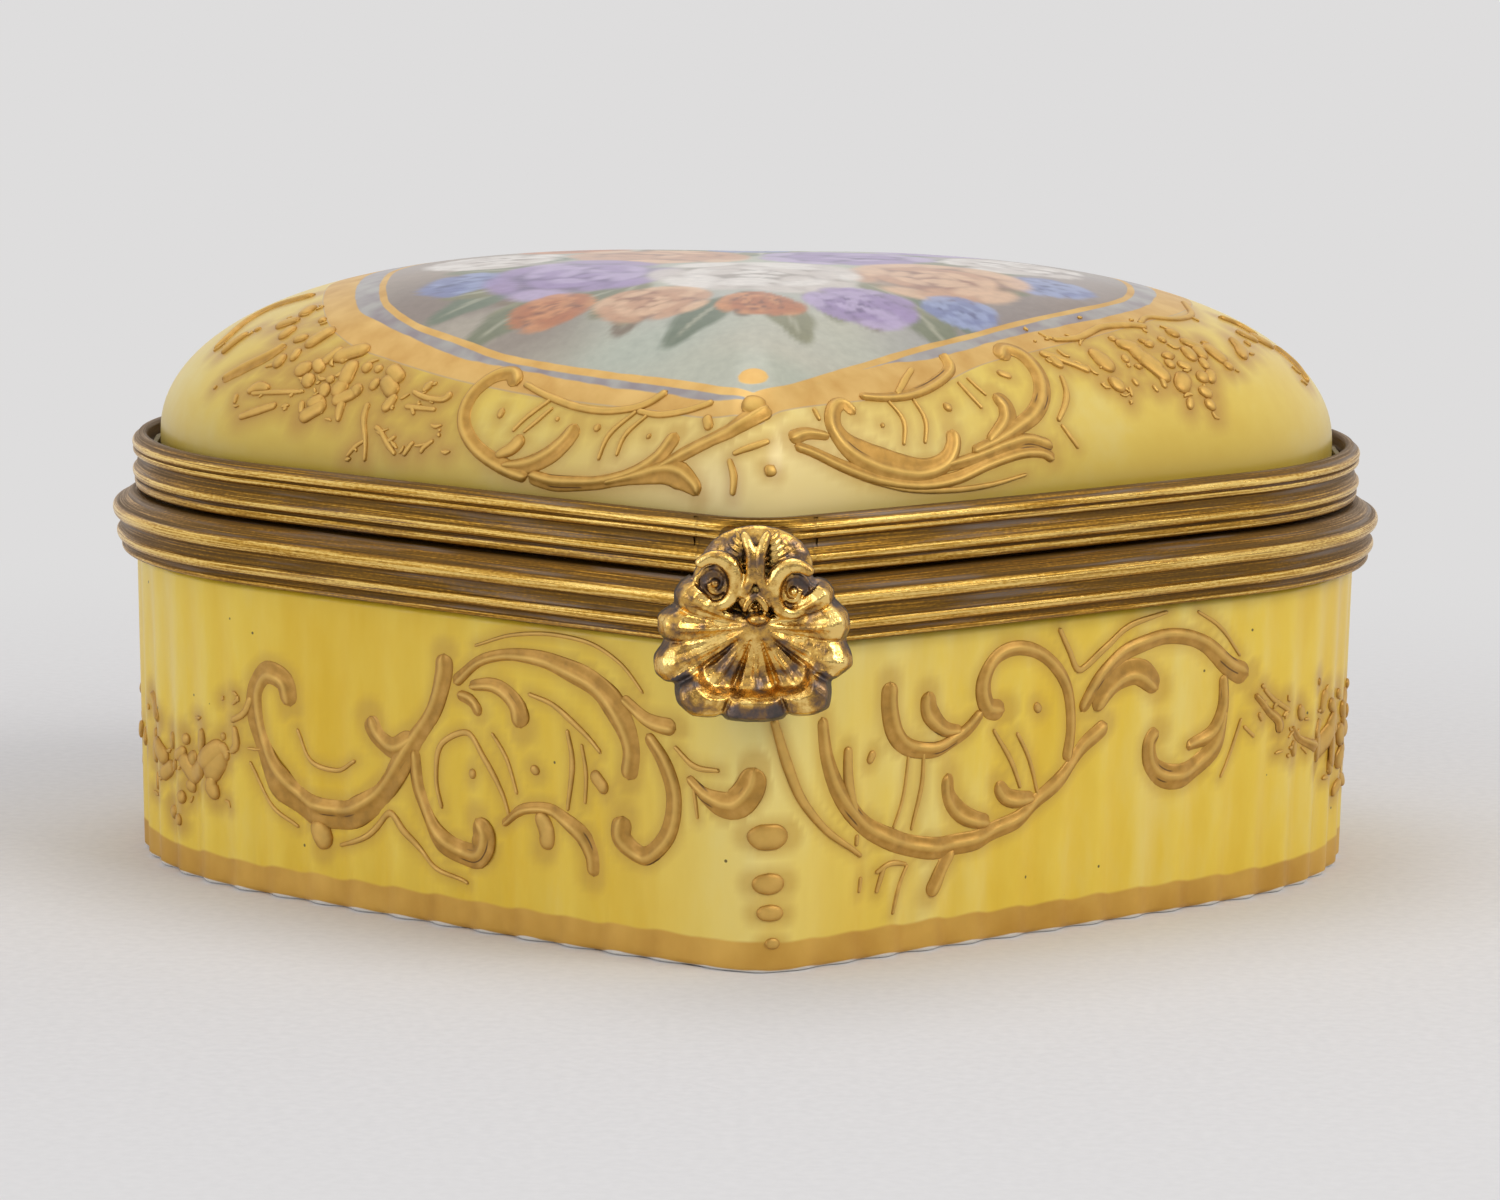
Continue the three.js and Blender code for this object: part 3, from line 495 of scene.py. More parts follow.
def rolled_gilt_brass():
    """Brass strip rolled to a moulding and fire-gilt. Highs are rubbed bright, hollows and the sloping top
    face are brown with tarnish and painted shade, and fine rolling lines and rub marks run along the strip."""
    colours = bpy.context.scene.heart_box_colours
    material, tree, place = new_material("rolled_gilt_brass")
    along, across, hollow_and_shade = (
        add(tree, "Attribute", attribute_name=name).outputs["Fac"] for name in ("along", "across", "hollow_and_shade"))
    strip = add(tree, "CombineXYZ", {"X": along, "Y": across})
    # Rub marks, rolling lines, pits and bloom: marks per millimetre along and across the strip, then how fine
    # and how rough they are
    rub, lines, pits, bloom = (
        add(tree, "TexNoise", {"Scale": 1.0, "Detail": detail, "Roughness": rough, "Vector": add(
            tree, "Mapping", {"Vector": strip, "Scale": (along_mm, across_mm, 1)})})
        for along_mm, across_mm, detail, rough in (
            (0.14, 6, 6, 0.62), (0.06, 15, 3, 0.5), (2.6, 7, 2, 0.5), (0.07, 1.2, 4, 0.5)))
    blotch = add(tree, "TexNoise", {"Vector": place, "Scale": per_size(2.6), "Detail": 5.0})
    # Tarnish lies in long streaks that wander over the beads, broken up by fine pits, and the hollows add
    # tarnish and painted shade
    dirt_and_shade = add(tree, "Math", {0: rub, 1: lines}, operation="ADD")
    dirt_and_shade = add(tree, "Math", {0: pits, 1: 0.45, 2: dirt_and_shade}, operation="MULTIPLY_ADD")
    dirt_and_shade = add(tree, "MapRange", {"Value": dirt_and_shade, "From Min": 0.95, "From Max": 1.5, "To Min": -0.26,
                                  "To Max": 0.48})
    dirt_and_shade = add(tree, "Math", {0: dirt_and_shade, 1: hollow_and_shade}, operation="ADD", use_clamp=True)
    metal = add(tree, "ValToRGB", {0: dirt_and_shade}, stops=[
        (0.0, "#F4D07A"), (1.0, colours.tarnish), (0.16, colours.brass), (0.34, "#AA7C2C"),
        (0.56, "#78561C")])
    # A grey-lilac bloom lies on the tarnish in long patches
    bloom = add(tree, "MapRange", {"Value": bloom, "From Min": 0.52, "From Max": 0.66})
    bloom = add(tree, "Math", {0: bloom, 1: dirt_and_shade}, operation="MULTIPLY")
    metal = add(tree, "Mix", {0: bloom, 6: metal, 7: "#85766A"}, data_type="RGBA")
    rough = add(tree, "MapRange", {"Value": dirt_and_shade, "To Min": 0.22, "To Max": 0.6})
    # Tarnish is a dull film, not bare metal
    bare = add(tree, "MapRange", {"Value": dirt_and_shade, "From Min": 0.3, "To Min": 1.0, "To Max": 0.6})
    bump = add(tree, "Bump", {"Strength": 0.6, "Distance": 0.05 * MM, "Height": lines})
    bump = add(tree, "Bump", {"Strength": 0.4, "Distance": 0.05 * MM, "Height": blotch, "Normal": bump})
    add(tree, "OutputMaterial", {"Surface": add(tree, "BsdfPrincipled", {
        "Base Color": metal, "Metallic": bare, "Roughness": rough, "Normal": bump})})
    return material


def cast_gilt_brass(name, grain, tarnish):
    """Cast or filed brass, fire-gilt: bright and rippled on top, with grey-brown tarnish left in pits and
    painted shade where the piece marks it. grain is the size of the casting skin in millimetres, tarnish its
    share of the surface."""
    material, tree, place = new_material(name)
    sunk = add(tree, "Attribute", attribute_name="hollow_and_shade").outputs["Fac"]
    skin_grain = add(tree, "TexNoise", {"Vector": place, "Scale": per_size(grain), "Detail": 4.0})
    patch = add(tree, "TexNoise", {"Vector": place, "Scale": per_size(grain * 5), "Detail": 5.0,
                                   "Roughness": 0.62})
    dirt_and_shade = add(tree, "MapRange", {"Value": patch, "From Min": 0.42, "From Max": 0.72, "To Max": tarnish})
    dirt_and_shade = add(tree, "Math", {0: dirt_and_shade, 1: sunk}, operation="ADD", use_clamp=True)
    metal = add(tree, "ValToRGB", {0: dirt_and_shade}, stops=[
        (0.0, "#F4D07E"), (1.0, "#4C4644"), (0.24, "#D2A452"), (0.5, "#8A6C4A"), (0.72, "#645650")])
    rough = add(tree, "MapRange", {"Value": dirt_and_shade, "To Min": 0.16, "To Max": 0.46})
    bare = add(tree, "MapRange", {"Value": dirt_and_shade, "From Min": 0.4, "To Min": 1.0, "To Max": 0.7})
    bump = add(tree, "Bump", {"Strength": 0.5, "Distance": 0.08 * MM, "Height": skin_grain})
    bump = add(tree, "Bump", {"Strength": 0.5, "Distance": 0.25 * MM, "Height": patch, "Normal": bump})
    add(tree, "OutputMaterial", {"Surface": add(tree, "BsdfPrincipled", {
        "Base Color": metal, "Metallic": bare, "Roughness": rough, "Normal": bump})})
    return material


def bedding_plaster():
    """Plaster that beds the porcelain in the mounts: chalky, a dull grey-brown, finely pitted"""
    material, tree, place = new_material("bedding_plaster")
    grain = add(tree, "TexNoise", {"Vector": place, "Scale": per_size(0.5), "Detail": 5.0})
    chalk = add(tree, "ValToRGB", {0: grain}, stops=[(0.3, "#84795F"), (0.7, "#A2967A")])
    bump = add(tree, "Bump", {"Strength": 0.6, "Distance": 0.1 * MM, "Height": grain})
    add(tree, "OutputMaterial", {"Surface": add(tree, "BsdfPrincipled", {
        "Base Color": chalk, "Roughness": 0.9, "IOR": 1.5, "Normal": bump})})
    return material


def wall_rim(s, z, lift=0.0):
    """Point on the fluted wall at distance s round and height z, lifted off it"""
    size, heart = bpy.context.scene.heart_box_sizes, body_heart()
    share = np.clip(z / BASE_LOW, 0, 1)
    # Flutes are deepest at the foot, and all but gone at the mount
    swell = mm(size.flute_depth) * flute_wave(s, heart) * (1 - 0.8 * share)
    push = swell - mm(size.foot_taper) * (1 - share) + lift
    xy = heart.points(s, 0.0, push)
    xy[:, 0] += corner_lean(s, share)
    return np.column_stack([xy, np.broadcast_to(z, len(xy))])


def flute_wave(s, heart):
    """Flutes round the wall, fading at the front corner"""
    fade = 0.35 + 0.65 * np.clip((np.abs(s) - 3) / 9, 0, 1)
    return fade * np.cos(2 * math.pi * bpy.context.scene.heart_box_sizes.flutes * s / heart.half_length)


def corner_lean(s, share):
    """The moulded corner warped a little to the right in the kiln, towards its foot"""
    return 0.6 * (1 - share) * np.exp(-((np.asarray(s) / 9) ** 2))


def dome_ring(heart, s, offset, shrink, z):
    """Points of the dome: the plan shrunk towards its middle, with the cleft filling out as it rises"""
    xy = heart.points(s, offset)
    back = heart.lobe[1] + heart.lobe_radius + offset
    in_cleft = (xy[:, 1] > heart.lobe[1]) & (np.abs(xy[:, 0]) < heart.lobe[0])
    fill = (back - xy[:, 1]) * (1 - np.asarray(shrink) ** 2)
    y = np.where(in_cleft, xy[:, 1] + fill, xy[:, 1])
    return np.column_stack([xy[:, 0] * shrink, MIDDLE_Y + (y - MIDDLE_Y) * shrink,
                            np.broadcast_to(z, len(xy))])


def dome_point(s, z):
    """Point on the lid at distance s round and height z"""
    size = bpy.context.scene.heart_box_sizes
    rise = np.clip((z - mm(size.dome_spring)) / mm(size.dome_rise), 0, 0.9999)
    shrink = (1 - rise**2) ** (1 / FULLNESS)
    return dome_ring(body_heart(), s, -mm(size.lid_inset), shrink, z)


def flow(points, widths, surface, pace):
    """Smooth path through stroke points on a surface: centres, normals, tangents, half widths, lengths"""
    control = np.array(points, float)
    if len(control) == 1:
        # A dot is a short stroke up the slope, longer or shorter, leaning to one side
        above, below = (surface(control[:, 0], control[:, 1] + d) for d in (0.05, -0.05))
        lean = 1.1 * math.sin(7 * control[0, 0] + 3 * control[0, 1])
        stretch = widths[0] * (1.35 + 0.65 * math.sin(11 * control[0, 0] + 5 * control[0, 1]))
        reach = np.array([(math.sin(lean), 0.1 * math.cos(lean) / np.linalg.norm(above - below))]) * stretch
        control = np.vstack([control - reach, control + reach])
    dense = smooth(control)
    path = surface(dense[:, 0], dense[:, 1])
    run = np.concatenate([[0], np.cumsum(np.linalg.norm(np.diff(path, axis=0), axis=1))])
    share = np.linspace(0, 1, max(int(run[-1] / pace), 12) + 1)
    # Places crowd towards both ends, where the stroke tapers
    crowd = 0.13
    reach = share - crowd * np.sin(math.tau * share) * min(1, 3 / run[-1])
    at = reach * run[-1]
    s, z = np.interp(at, run, dense[:, 0]), np.interp(at, run, dense[:, 1])
    centre = surface(s, z)
    h = 0.05
    normal = np.cross(surface(s + h, z) - surface(s - h, z), surface(s, z + h) - surface(s, z - h))
    normal /= np.linalg.norm(normal, axis=1)[:, None]
    tangent = np.gradient(centre, axis=0)
    tangent /= np.linalg.norm(tangent, axis=1)[:, None] + 1e-9
    width = np.interp(reach, np.linspace(0, 1, len(widths)), widths)
    return centre, normal, tangent, width, at


ACROSS = np.linspace(1, -1, 17)


def bead_net(points, widths, surface, height, lean):
    """One stroke of raised gilding: a rounded bead. A long broad stroke is a thin wash of gold with a
    narrow ridge along it, which leans to one side."""
    centre, normal, tangent, width, at = flow(points, widths, surface, 0.22)
    broad = max(widths)
    washed = broad > 0.42 and at[-1] > 5 * broad
    ease = np.minimum(at, at[-1] - at) / np.maximum(width, 0.05)
    ease = np.sqrt(np.clip(1 - (1 - np.clip(ease, 0, 1)) ** 2, 0, 1))
    side = np.cross(normal, tangent)
    height = height if washed else height * min(1.0, 0.25 + 1.2 * broad)
    # Height of a wash and of its ridge, as shares, and how deep the edges and the underside lie in the glaze
    wash, crest, tucked, sunk = 0.34, 0.66, 0.06, 0.12
    rings, ridge, across = [], [], []
    lateral = np.concatenate([ACROSS, [-0.8, 0.8]])
    for c, n, b, w, e in zip(centre, normal, side, width, ease):
        bead = np.sqrt(np.clip(1 - ACROSS**2, 0, 1))
        from_ridge = np.full(len(ACROSS), 9.0)
        if washed:
            from_ridge = np.abs(ACROSS - lean) * w
            bead = wash * (1 - ACROSS**6) + crest * np.exp(-((from_ridge / min(0.3, 0.5 * w)) ** 2))
        lifted = bead * height * (0.25 + 0.75 * e) - tucked * (np.abs(ACROSS) == 1)
        lifted = np.concatenate([lifted, [-sunk, -sunk]])
        rings.append(c + np.outer(lateral * w * e, b) + np.outer(lifted, n))
        ridge.append(np.concatenate([bead * e, [0, 0]]))
        across.append(np.concatenate([from_ridge, [9, 9]]))
    net_points, faces = skin(rings)
    return net_points, faces, {"ridge": np.concatenate([*ridge, [0.5, 0.5]]),
                               "across": np.concatenate([*across, [9, 9]])}


def dots(width, *places):
    """Drops of raised gold of about one size"""
    return [((width * (0.6 + 0.65 * (0.618 * i % 1)),), [place]) for i, place in enumerate(places)]


def bits(strokes, count, seed):
    """Leaf tips and flecks of gold scattered through a spray"""
    rng = random.Random(seed)
    places = [place for _, points in strokes for place in points]
    made = []
    for _ in range(count):
        s, z = rng.choice(places)
        s, z = s + rng.gauss(0, 0.8), z + rng.gauss(0, 0.4)
        turn, reach = rng.uniform(-1.3, 1.3), rng.uniform(0.2, 0.6)
        du, dz = reach * math.cos(turn), 0.6 * reach * math.sin(turn)
        bend = rng.uniform(-0.15, 0.15)
        made.append(((0.08, rng.uniform(0.12, 0.22), 0.06),
                     [(s - du, z - dz), (s + bend, z + bend), (s + du, z + dz)]))
    return made


# Raised gilding. Each stroke is its half widths from end to end, then its points: distance round from
# the front corner (negative to the left) and height, both in millimetres.
BODY_LEFT = [
    ((0.8, 0.9, 0.8, 1.05, 1.15, 1.15, 1.15, 1.1, 1.0, 0.85, 0.75, 0.7, 0.8), [(-40.5, 14), (-41, 15.8),
     (-42.8, 16.2), (-44, 14.5), (-43.6, 11.5), (-42, 9), (-39.8, 7.3), (-36.8, 6.7), (-34, 7.3), (-31, 9.8),
     (-29, 12.8), (-27, 15.3), (-26.1, 17.8), (-26, 19.4)]),
    ((0.85, 0.8, 0.85, 0.9), [(-33, 14.2), (-32.3, 12.8), (-30.6, 12.2), (-28.8, 13.2)]),
    ((0.14, 0.2, 0.15), [(-40, 12.5), (-38.7, 10.5), (-36.3, 9.9), (-34.2, 10.9)]),
    ((0.12, 0.18, 0.14), [(-44.6, 9.6), (-43, 7.2), (-40, 5.3)]),
    ((0.6, 0.85, 0.7), [(-38.4, 5.9), (-37.5, 5.1), (-37.5, 4.1)]),
    ((0.15, 0.25, 0.28, 0.2, 0.14), [(-36.2, 4.5), (-33.5, 5.5), (-31.2, 7.5), (-29.6, 6.1), (-27.5, 4.4),
     (-24.2, 3.3)]),
    ((0.5, 0.6, 0.7, 0.8, 0.95, 1.0, 0.85), [(-29, 12.3), (-28.6, 9.4), (-27.2, 7), (-25.3, 5.6),
     (-23.2, 5.5), (-22.6, 6.9), (-23.3, 8.1)]),
    ((0.5, 0.4, 0.45, 0.65, 0.9, 1.05, 0.85, 0.75), [(-25.3, 17.4), (-22.4, 19.4), (-18.8, 20), (-15, 19.4),
     (-12.2, 18.2), (-10.7, 16.6), (-9.9, 14.5), (-10.2, 12.3)]),
    ((0.5, 0.6, 0.65, 0.65, 0.75, 0.8), [(-8.6, 15.7), (-7.2, 13.9), (-6.5, 11.5), (-7.1, 8.8), (-9, 7.2),
     (-10.7, 8.2), (-10.6, 9.8)]), ((0.4, 0.55, 0.7), [(-10.6, 18), (-8.6, 16.7), (-6.2, 16.3)]),
    ((0.35, 0.5, 0.9, 1.15, 1.05, 0.85), [(-5.4, 13.1), (-3.7, 11.9), (-1.9, 11.5), (-0.6, 12.6),
     (-0.1, 14.2)]), ((0.35, 0.55, 0.8, 0.95), [(-23.8, 17.4), (-21.6, 17.6), (-19.7, 16.5), (-19.2, 14.9)]),
    ((0.4, 0.5, 0.45), [(-25, 16.6), (-23.6, 16.3), (-22.8, 15.4)]),
    ((0.14, 0.22, 0.24, 0.22, 0.15), [(-26.3, 8.4), (-26.8, 10.6), (-26.3, 13), (-24, 14), (-22.4, 12.3),
     (-21.1, 10), (-20.5, 8.5)]), ((0.12, 0.2, 0.16), [(-21.9, 14.3), (-20.6, 12.4), (-19.6, 10.2)]),
    ((0.15, 0.24, 0.16), [(-18.6, 17.4), (-15.6, 16.4), (-12.4, 13.9)]),
    ((0.16, 0.22, 0.14), [(-15.2, 15.3), (-14.8, 13), (-15.2, 9.6)]),
    ((0.12, 0.17, 0.12), [(-14.1, 14.4), (-13.8, 12.4), (-13.9, 10.2)]), *dots(0.62, (-23.6, 11.2)),
    *dots(0.56, (-18.1, 12.1), (-12.6, 11.9)),
    ((0.3, 0.4, 0.45, 0.6, 0.7, 0.7), [(-21.2, 7.9), (-19, 9.3), (-16.6, 9.4), (-14.4, 8.3), (-13.4, 6.7),
     (-13.3, 5.2)]), ((0.5, 0.75, 0.7), [(-17.9, 9.2), (-17.2, 7.8), (-17.4, 6.6)]),
    ((0.1, 0.16, 0.16, 0.12), [(-23.3, 20.2), (-20, 21.3), (-16.3, 21.7), (-13.2, 21.4), (-10.8, 20.4),
     (-8.8, 18.4)]), ((0.15, 0.24, 0.16), [(-6.4, 15.1), (-4.8, 13.9), (-2.7, 13.8)]),
    ((0.12, 0.18, 0.12), [(-4.9, 12.6), (-4.6, 10.3)])
]
BODY_RIGHT = [
    ((0.3, 0.42, 0.36, 0.28, 0.16), [(1.2, 17.5), (2.3, 14.2), (3.6, 11.6), (5.8, 9.4), (8.9, 7.3)]),
    ((0.5, 0.65, 0.75, 0.8, 0.85, 0.8, 0.7, 0.6, 0.6, 0.65), [(5.2, 17.3), (5.7, 14.4), (7, 11.6),
     (9.2, 9.4), (12.3, 7.9), (15.5, 7.2), (19, 7.4), (22.4, 8.3), (25, 9.7), (27.4, 11.6), (29, 13.1),
     (30.8, 14.4)]),
    ((0.6, 0.55, 0.5, 0.5, 0.55, 0.6, 0.75, 0.85), [(27.2, 12), (27.5, 14.6), (26.9, 17.4), (25, 19.6),
     (22.4, 20.5), (20.3, 19.9), (19.3, 18.3), (19.8, 16.6), (21.4, 16.2)]),
    ((0.7, 0.72, 0.75, 0.65, 0.55, 0.5, 0.4), [(11, 19.2), (11, 17.4), (11.6, 15.5), (13, 14.4),
     (15.2, 14.1), (17.6, 14.9), (19.2, 16.4)]),
    ((0.6, 0.75, 0.6, 0.35), [(14.4, 18.2), (14.6, 16.7), (15.9, 15.5), (17.6, 15.2)]),
    ((0.7, 0.8, 0.7, 0.5), [(16.4, 12.3), (16.7, 10.6), (18.2, 9.1), (20.4, 8.5)]),
    ((0.6, 0.7, 0.45), [(21, 11.2), (22, 10), (24.4, 9.8)]),
    ((0.14, 0.2, 0.14), [(20.4, 15), (21.9, 12.9), (22.9, 10.6)]),
    ((0.14, 0.2, 0.14), [(22.4, 14.6), (23.9, 12.2), (24.9, 9.7)]),
    ((0.12, 0.17, 0.12), [(12.9, 13.9), (12.5, 11.2), (11.5, 9)]),
    ((0.12, 0.17, 0.12), [(14.2, 14), (14.1, 11.6), (13.4, 8.6)]), *dots(0.55, (9.6, 14.1)),
    *dots(0.58, (24.4, 16.1)), ((0.35, 0.42, 0.25), [(7.4, 15.1), (7.5, 12.7), (8.2, 10.4)]),
    ((0.18, 0.26, 0.28, 0.24, 0.14), [(26, 21.6), (27, 19.9), (28.2, 18.4), (30.4, 19.8), (33, 21.2),
     (36.4, 21.8)]), ((0.12, 0.16, 0.12), [(39.2, 21.6), (41.4, 20.3), (43.8, 17.9)]),
    ((0.5, 0.6, 0.65, 0.6, 0.6, 0.75, 1.0), [(28.5, 15.4), (30.4, 18), (33.2, 19.5), (36.8, 20), (40, 19.2),
     (42.4, 17.4), (44.6, 16.4)]),
    ((0.5, 0.9, 1.05, 1.0, 0.85), [(29.6, 15.4), (31, 17), (33.5, 17.8), (35.8, 16.4)]),
    ((0.45, 0.6, 0.65, 0.4), [(42, 16.8), (42.1, 14.4), (41, 12.5), (38.6, 11.9)]),
    ((0.4, 0.7, 0.9, 1.0, 0.9, 0.7), [(42.3, 14.2), (41.4, 11.7), (39.5, 10.2), (37.1, 9.9), (35.4, 11),
     (35.1, 12.6), (36, 13.3)]), ((0.12, 0.18, 0.12), [(44.2, 13.4), (43.3, 11.2), (42, 9.3)]),
    ((0.14, 0.14), [(44.4, 12.8), (45.4, 11.9)]),
    ((0.5, 0.75, 0.7, 0.5), [(17.2, 6.9), (16.2, 5.8), (15.5, 4.8), (14.9, 3.9)]),
    ((0.16, 0.22, 0.14), [(13.2, 6.3), (12.2, 4.7), (11.6, 3)]),
    ((0.14, 0.2, 0.14), [(10.9, 6.6), (10.3, 4.6)]),
    ((0.16, 0.22, 0.14), [(10.2, 6), (11.4, 6.6), (13.1, 6.3)]), ((0.22, 0.16), [(8.9, 5.9), (8.7, 4.8)]),
    ((0.24, 0.18), [(8.4, 8.9), (8.3, 8.1)])
]
CORNER_DROPS = [
    ((0.6, 0.95, 0.95, 0.8), [(-0.8, 9.5), (0.7, 9.4), (2.3, 9.5)]),
    ((0.6, 0.8, 0.65), [(-0.5, 6.2), (0.8, 6.2), (2, 6.2)]),
    ((0.5, 0.62, 0.5), [(-0.2, 4.2), (0.9, 4.2), (1.9, 4.1)]),
    ((0.35, 0.42, 0.35), [(0.4, 2.1), (1, 2.1), (1.6, 2)]),
]
BODY_SPRAY_LEFT = [
    ((0.35, 0.45, 0.55), [(-59.5, 12.5), (-58.5, 11.8), (-57, 10.8)]),
    ((0.45, 0.5), [(-62, 9.5), (-61, 8.3)]), ((0.45, 0.6, 0.5), [(-58.3, 10), (-59, 8.3), (-59, 7.3)]),
    ((0.45, 0.5), [(-54.8, 10.3), (-54.8, 9)]), ((0.45, 0.5), [(-52.5, 10.5), (-52, 9.8)]),
    ((0.35, 0.5, 0.35), [(-49.8, 11.3), (-49.8, 10.5), (-50, 9.5)]),
    ((0.3, 0.5, 0.35), [(-48.5, 10.3), (-47.3, 10), (-47, 9.3)]),
    ((0.35, 0.65, 0.5), [(-48.5, 8), (-48.8, 7.3), (-48.3, 6.3)]), ((0.55, 0.5), [(-52.3, 7), (-51.3, 6.5)]),
    ((0.55, 0.5), [(-52.8, 6.3), (-53, 5.3)]), ((0.6, 0.55), [(-55.3, 4.8), (-55, 3.8)]),
    ((0.45, 0.4), [(-53.8, 4.3), (-53, 3.8)]), ((0.4, 0.4), [(-58.3, 6.8), (-57.8, 5.5)]),
    ((0.3, 0.28, 0.22), [(-44.3, 14.3), (-45, 13), (-46.3, 12.3)]),
    ((0.25, 0.38, 0.38, 0.22), [(-46, 12), (-45.8, 11.3), (-45.8, 10.5), (-46.5, 10)]),
    *dots(0.3, (-45.5, 14), (-47.5, 11)),
    *dots(0.75, (-53, 9), (-51.5, 8.8), (-50, 9), (-48.8, 9.5), (-52, 8), (-54, 8), (-50.8, 8), (-55.8, 7.3),
     (-48.3, 8.8), (-56.8, 8.6))
]
BODY_SPRAY_RIGHT = [
    ((0.25, 0.32, 0.4, 0.45), [(45.3, 15), (46.8, 13.8), (48.3, 12.8), (48.5, 11.8)]),
    ((0.16, 0.22, 0.2), [(46.3, 15.3), (47.8, 14.3), (49.5, 13.3)]),
    ((0.35, 0.5, 0.35), [(51.3, 13.5), (51.5, 13), (51.8, 12.3)]),
    ((0.5, 0.55, 0.4), [(50.3, 11), (50.5, 10.3), (50.5, 9.8)]),
    ((0.3, 0.32, 0.5), [(50, 12), (51.5, 11), (54, 10)]), ((0.5, 0.5), [(55.8, 14), (55.3, 12.3)]),
    ((0.45, 0.45), [(59.5, 13.5), (59.8, 12.8)]), ((0.5, 0.4), [(57, 8.8), (57, 7.5)]),
    ((0.45, 0.35), [(61.8, 7.8), (62, 6.8)]), ((0.35, 0.5, 0.3), [(60.8, 6.5), (60, 6), (59.5, 5.5)]),
    *dots(0.36, (46, 13.3), (54.3, 14.8)),
    *dots(0.8, (54.5, 11.3), (57.3, 11.5), (62.5, 10.8), (56, 10.3), (60.3, 10), (57.3, 12.5), (60.8, 11.8),
     (54.5, 10), (57.5, 9.3), (63.5, 8.3), (59, 11), (62, 9))
]
LID_LEFT = [
    ((0.65, 0.7, 0.6, 0.6, 0.6, 0.65, 0.65), [(-23.2, 37.8), (-24.2, 38.5), (-25.6, 38.3), (-26.6, 37.4),
     (-26.9, 36.3), (-26.5, 35.1), (-25.4, 34), (-24, 33.2), (-22, 32.5), (-20, 32.1)]),
    ((0.3, 0.5, 0.6), [(-23, 33.2), (-21.7, 33.8), (-20.9, 34.7)]),
    ((0.4, 0.65, 0.75, 0.7), [(-22.4, 32.5), (-20.2, 32.8), (-18.4, 33.6), (-17.1, 34.7), (-16.4, 35.8)]),
    ((0.55, 0.6, 0.5, 0.5, 0.6, 0.65), [(-20, 32.1), (-18, 31.8), (-16, 31.9), (-13.6, 32.2), (-11, 33),
     (-9.1, 34.1), (-8.1, 35.2), (-7.6, 35.9)]),
    ((0.3, 0.45, 0.8, 1.0, 0.5), [(-13.4, 32.1), (-11, 32.7), (-8.6, 33.3), (-7.2, 33.2), (-6, 32.6),
     (-5.5, 32)]),
    ((0.35, 0.55, 0.55, 0.75, 0.9), [(-9, 33.5), (-6.5, 34.8), (-3.6, 36.1), (-0.4, 37.3), (1.4, 37.9)]),
    ((0.25, 0.32, 0.32, 0.35), [(-22.6, 38), (-20, 37.4), (-17, 36.9), (-14.4, 36.8), (-12, 37.1),
     (-10.4, 37.6), (-9, 38.4)]), ((0.25, 0.3, 0.3), [(-11.4, 37), (-9.4, 36.9), (-7, 37.3), (-4.6, 38)]),
    ((0.16, 0.22, 0.14), [(-19.4, 37.2), (-21, 36), (-22, 34.9)]),
    ((0.14, 0.2, 0.12), [(-19, 36.7), (-20, 35.8), (-21, 34.9)]),
    ((0.16, 0.24, 0.14), [(-11.4, 37), (-13.4, 35.4), (-14.1, 33.6)]),
    ((0.14, 0.22, 0.14), [(-10.4, 36.8), (-12, 35.5), (-12.6, 34)]), *dots(0.5, (-23.5, 36)),
    *dots(0.34, (-18.3, 36), (-14.6, 35.7), (-10, 35.5), (-5, 36.7)),
    ((0.3, 0.5, 0.3), [(0.9, 34.2), (1.5, 33.9), (2.1, 33.7)]),
    ((0.22, 0.28, 0.2), [(1.4, 35.8), (-1, 35.3), (-2.6, 34.9)]),
    ((0.22, 0.3, 0.22), [(-3, 34.6), (-2.4, 33.5), (-2.5, 32.2)]),
    ((0.8, 0.95, 0.7), [(-1.6, 37.6), (-0.2, 38), (1, 38.2)])
]
